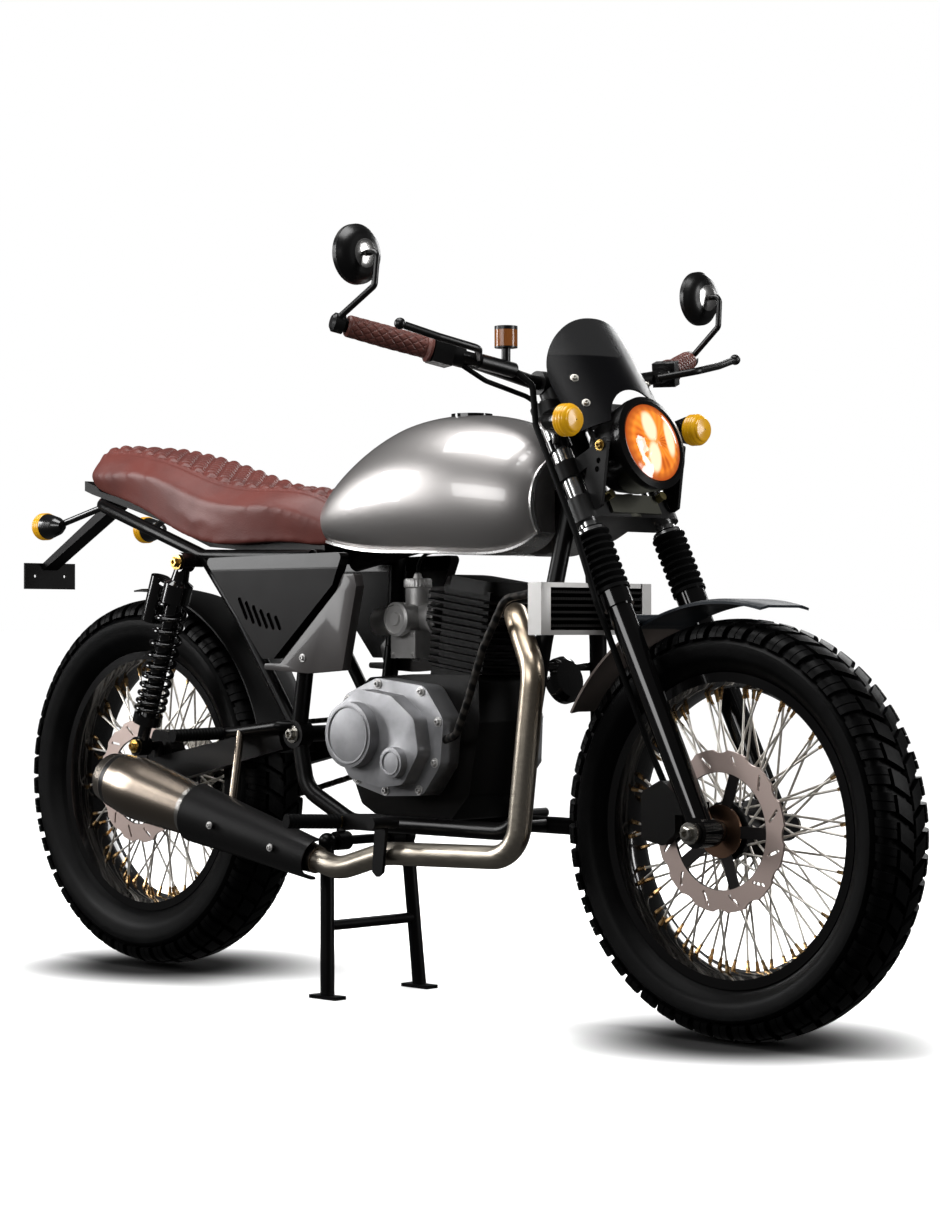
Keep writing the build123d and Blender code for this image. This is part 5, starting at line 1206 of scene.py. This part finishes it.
piece("screen_sheet", screen_sheet(), "steering", smoked, ("flyscreen",))
screen_bolts = []
for side in (1, -1):
    for height, wide in ((0.022, 0.088), (0.070, 0.086)):
        sag = SCREEN_R - np.sqrt(SCREEN_R ** 2 - wide ** 2)
        way = SCREEN_OUT * np.sqrt(1 - (wide / SCREEN_R) ** 2) + LEFT * side * wide / SCREEN_R
        place = SCREEN_FOOT + SCREEN_UP * height - SCREEN_OUT * sag + LEFT * side * wide
        screen_bolts.append((place, way, 0.0045))
piece("screen_bolts", bolt_stack(screen_bolts), "steering", zinc)

# %% [markdown]
# ## Castings up close
# The carburettor and the clutch cover are the brightest things low on the machine, so they get
# their small parts: a knurled cap, screws, a drain plug, a cable, and raised rings on the caps.

# %% Carburettor and cover details
THROAT = np.array((0.0131, -0.0103, 0.637))
CAP = ((0.0212, -0.002), (0.0236, 0.0), (0.0236, 0.011), (0.0215, 0.014), (0.008, 0.014), (0.006, 0.022),
       (0.0035, 0.024))
DRUM = ((0.0262, -0.004), (0.0285, -0.004), (0.0285, 0.006), (0.024, 0.009), (0.0238, 0.006), (0.012, 0.006),
        (0.010, 0.010), (0.002, 0.010))
FLANGE = ((0.024, 0.0), (0.031, 0.0), (0.031, 0.006), (0.024, 0.006))
KNURLED_ROWS, CAP_SIDES = slice(1, 3), 96
cap = lathe(CAP, THROAT + (0, 0, 0.054), (0, 0, 1), CAP_SIDES)
knurl = np.ones(cap.shape)
knurl[KNURLED_ROWS, :, :2] = np.where(np.arange(CAP_SIDES) % 4 < 2, 1.0, 0.965)[:, None]
stem = THROAT * (1, 1, 0)
cap = stem + (cap - stem) * knurl
details = [skin(cap, wrap_columns=True, capped=True),
           turned(DRUM, THROAT + (0, -0.046, 0), (0, -1, 0)),
           hoop(FLANGE, THROAT + (0.046, 0, 0.004), (1, 0, 0)),
           hoop(FLANGE, THROAT + (-0.036, 0, -0.002), (-1, 0, 0))]
bowl_screws = [((THROAT[0] + x, -0.0453, 0.595 + z), (0, -1, 0), 0.0028)
               for x in (-0.023, 0.023) for z in (-0.017, 0.017)]
bowl_screws.append(((THROAT[0], -0.0143, 0.5722), (0, 0, -1), 0.0060))
piece("carburettor_parts", joined(*details, bolt_stack(bowl_screws)), "chassis", alloy)
CABLE_R = 0.0032
CABLE_TURNS = ((0.0131, -0.0103, 0.714), (0.014, -0.0103, 0.726), (0.022, -0.012, 0.738),
               (0.040, -0.016, 0.746), (0.064, -0.020, 0.750))
cable = skin(tube(CABLE_TURNS, CABLE_R), wrap_columns=True, capped=True)
piece("throttle_cable", cable, "chassis", boot_rubber)

# Columns: middle x and z, y of the face, inner and outer radius of the raised ring
RINGS = ((0.003, 0.447, -0.162, 0.0440, 0.0485), (0.098, 0.404, -0.156, 0.0165, 0.0205),
         (0.098, 0.434, 0.132, 0.050, 0.056))
rings = []
for x, z, y, inner, outer in RINGS:
    lines = ((inner, -0.0005), (inner + 0.001, 0.002), (outer - 0.001, 0.002), (outer, -0.0005))
    rings.append(hoop(lines, (x, y, z), (0, np.sign(y), 0), 72))
piece("cover_rings", joined(*rings), "chassis", cover_grey)

# %% Ridged lenses
def ridged_lens(tip, way):
    """Turned cap: radius = the bullet's own profile plus a half wave for each of five ridges."""
    run = np.linspace(-0.0170, 0.0118, 64)
    base = np.interp(run, (-0.0170, 0.0, 0.009, 0.0118), (0.0240, 0.0240, 0.0170, 0.0015))
    ridge = 0.0014 * np.abs(np.sin(np.pi * (run + 0.0170) / 0.0058)) ** 0.7
    return turned(np.stack((base + ridge, run), 1), tip, (way, 0, 0), 40)


amber = Finish("bullet_amber", coat_weight=0.25, coat_roughness=0.06, roughness=0.3, emission_strength=0.3)
amber_depth = amber.noise(60, 3)
amber.set("Base Color", amber.mix(amber_depth, (0.74, 0.40, 0.008), (0.55, 0.26, 0.006)))
amber.set("Emission Color", amber.mix(amber_depth, (0.62, 0.33, 0.004), (0.40, 0.18, 0.002)))
# Columns: piece, tip of the left lens, way that it looks, body
LENSES = (
    ("front_lenses", (0.491, 0.152, 0.939), 1, "steering"),
    ("rear_lenses", (-0.878, 0.120, 0.812), -1, "chassis"),
)
for name, (x, y, z), way, body in LENSES:
    piece(name, joined(*[ridged_lens((x, y * side, z), way) for side in (1, -1)]), body, amber)


# %% Fins of the oil cooler
FIN_HALF, FIN_FACES = 0.0031, (0.4004, 0.4056)


def fin_strips(levels, half, pitch=0.0044):
    """Zigzag ribbons: the height jumps from one flat tube to the next, the depth stays the same."""
    y = np.arange(-half, half, pitch / 2)
    swing = np.where(np.arange(len(y)) % 2, 1.0, -1.0)
    height = levels[:, None] + FIN_HALF * swing[None]
    line = np.stack((np.zeros_like(height), np.broadcast_to(y, height.shape), height), -1)
    return skin(np.stack([line + (x, 0, 0) for x in FIN_FACES], 1))


cooler_rows = COOLER_Z + (np.arange(7) - 3) * 0.01057
fin_black = cast("fin_black", (0.012, 0.012, 0.012), 0.4, 0.7)
piece("cooler_fins", fin_strips(cooler_rows, 0.1075), "chassis", fin_black, (), 20)

# %% Bands on the fork
BAND = ((0.0223, -0.005), (0.0240, -0.005), (0.0240, 0.005), (0.0223, 0.005))
bands = [hoop(BAND, on_fork(0.500, 0.045, 0.090 * side), UP_FORK) for side in (1, -1)]
piece("boot_bands", joined(*bands), "steering", chrome)
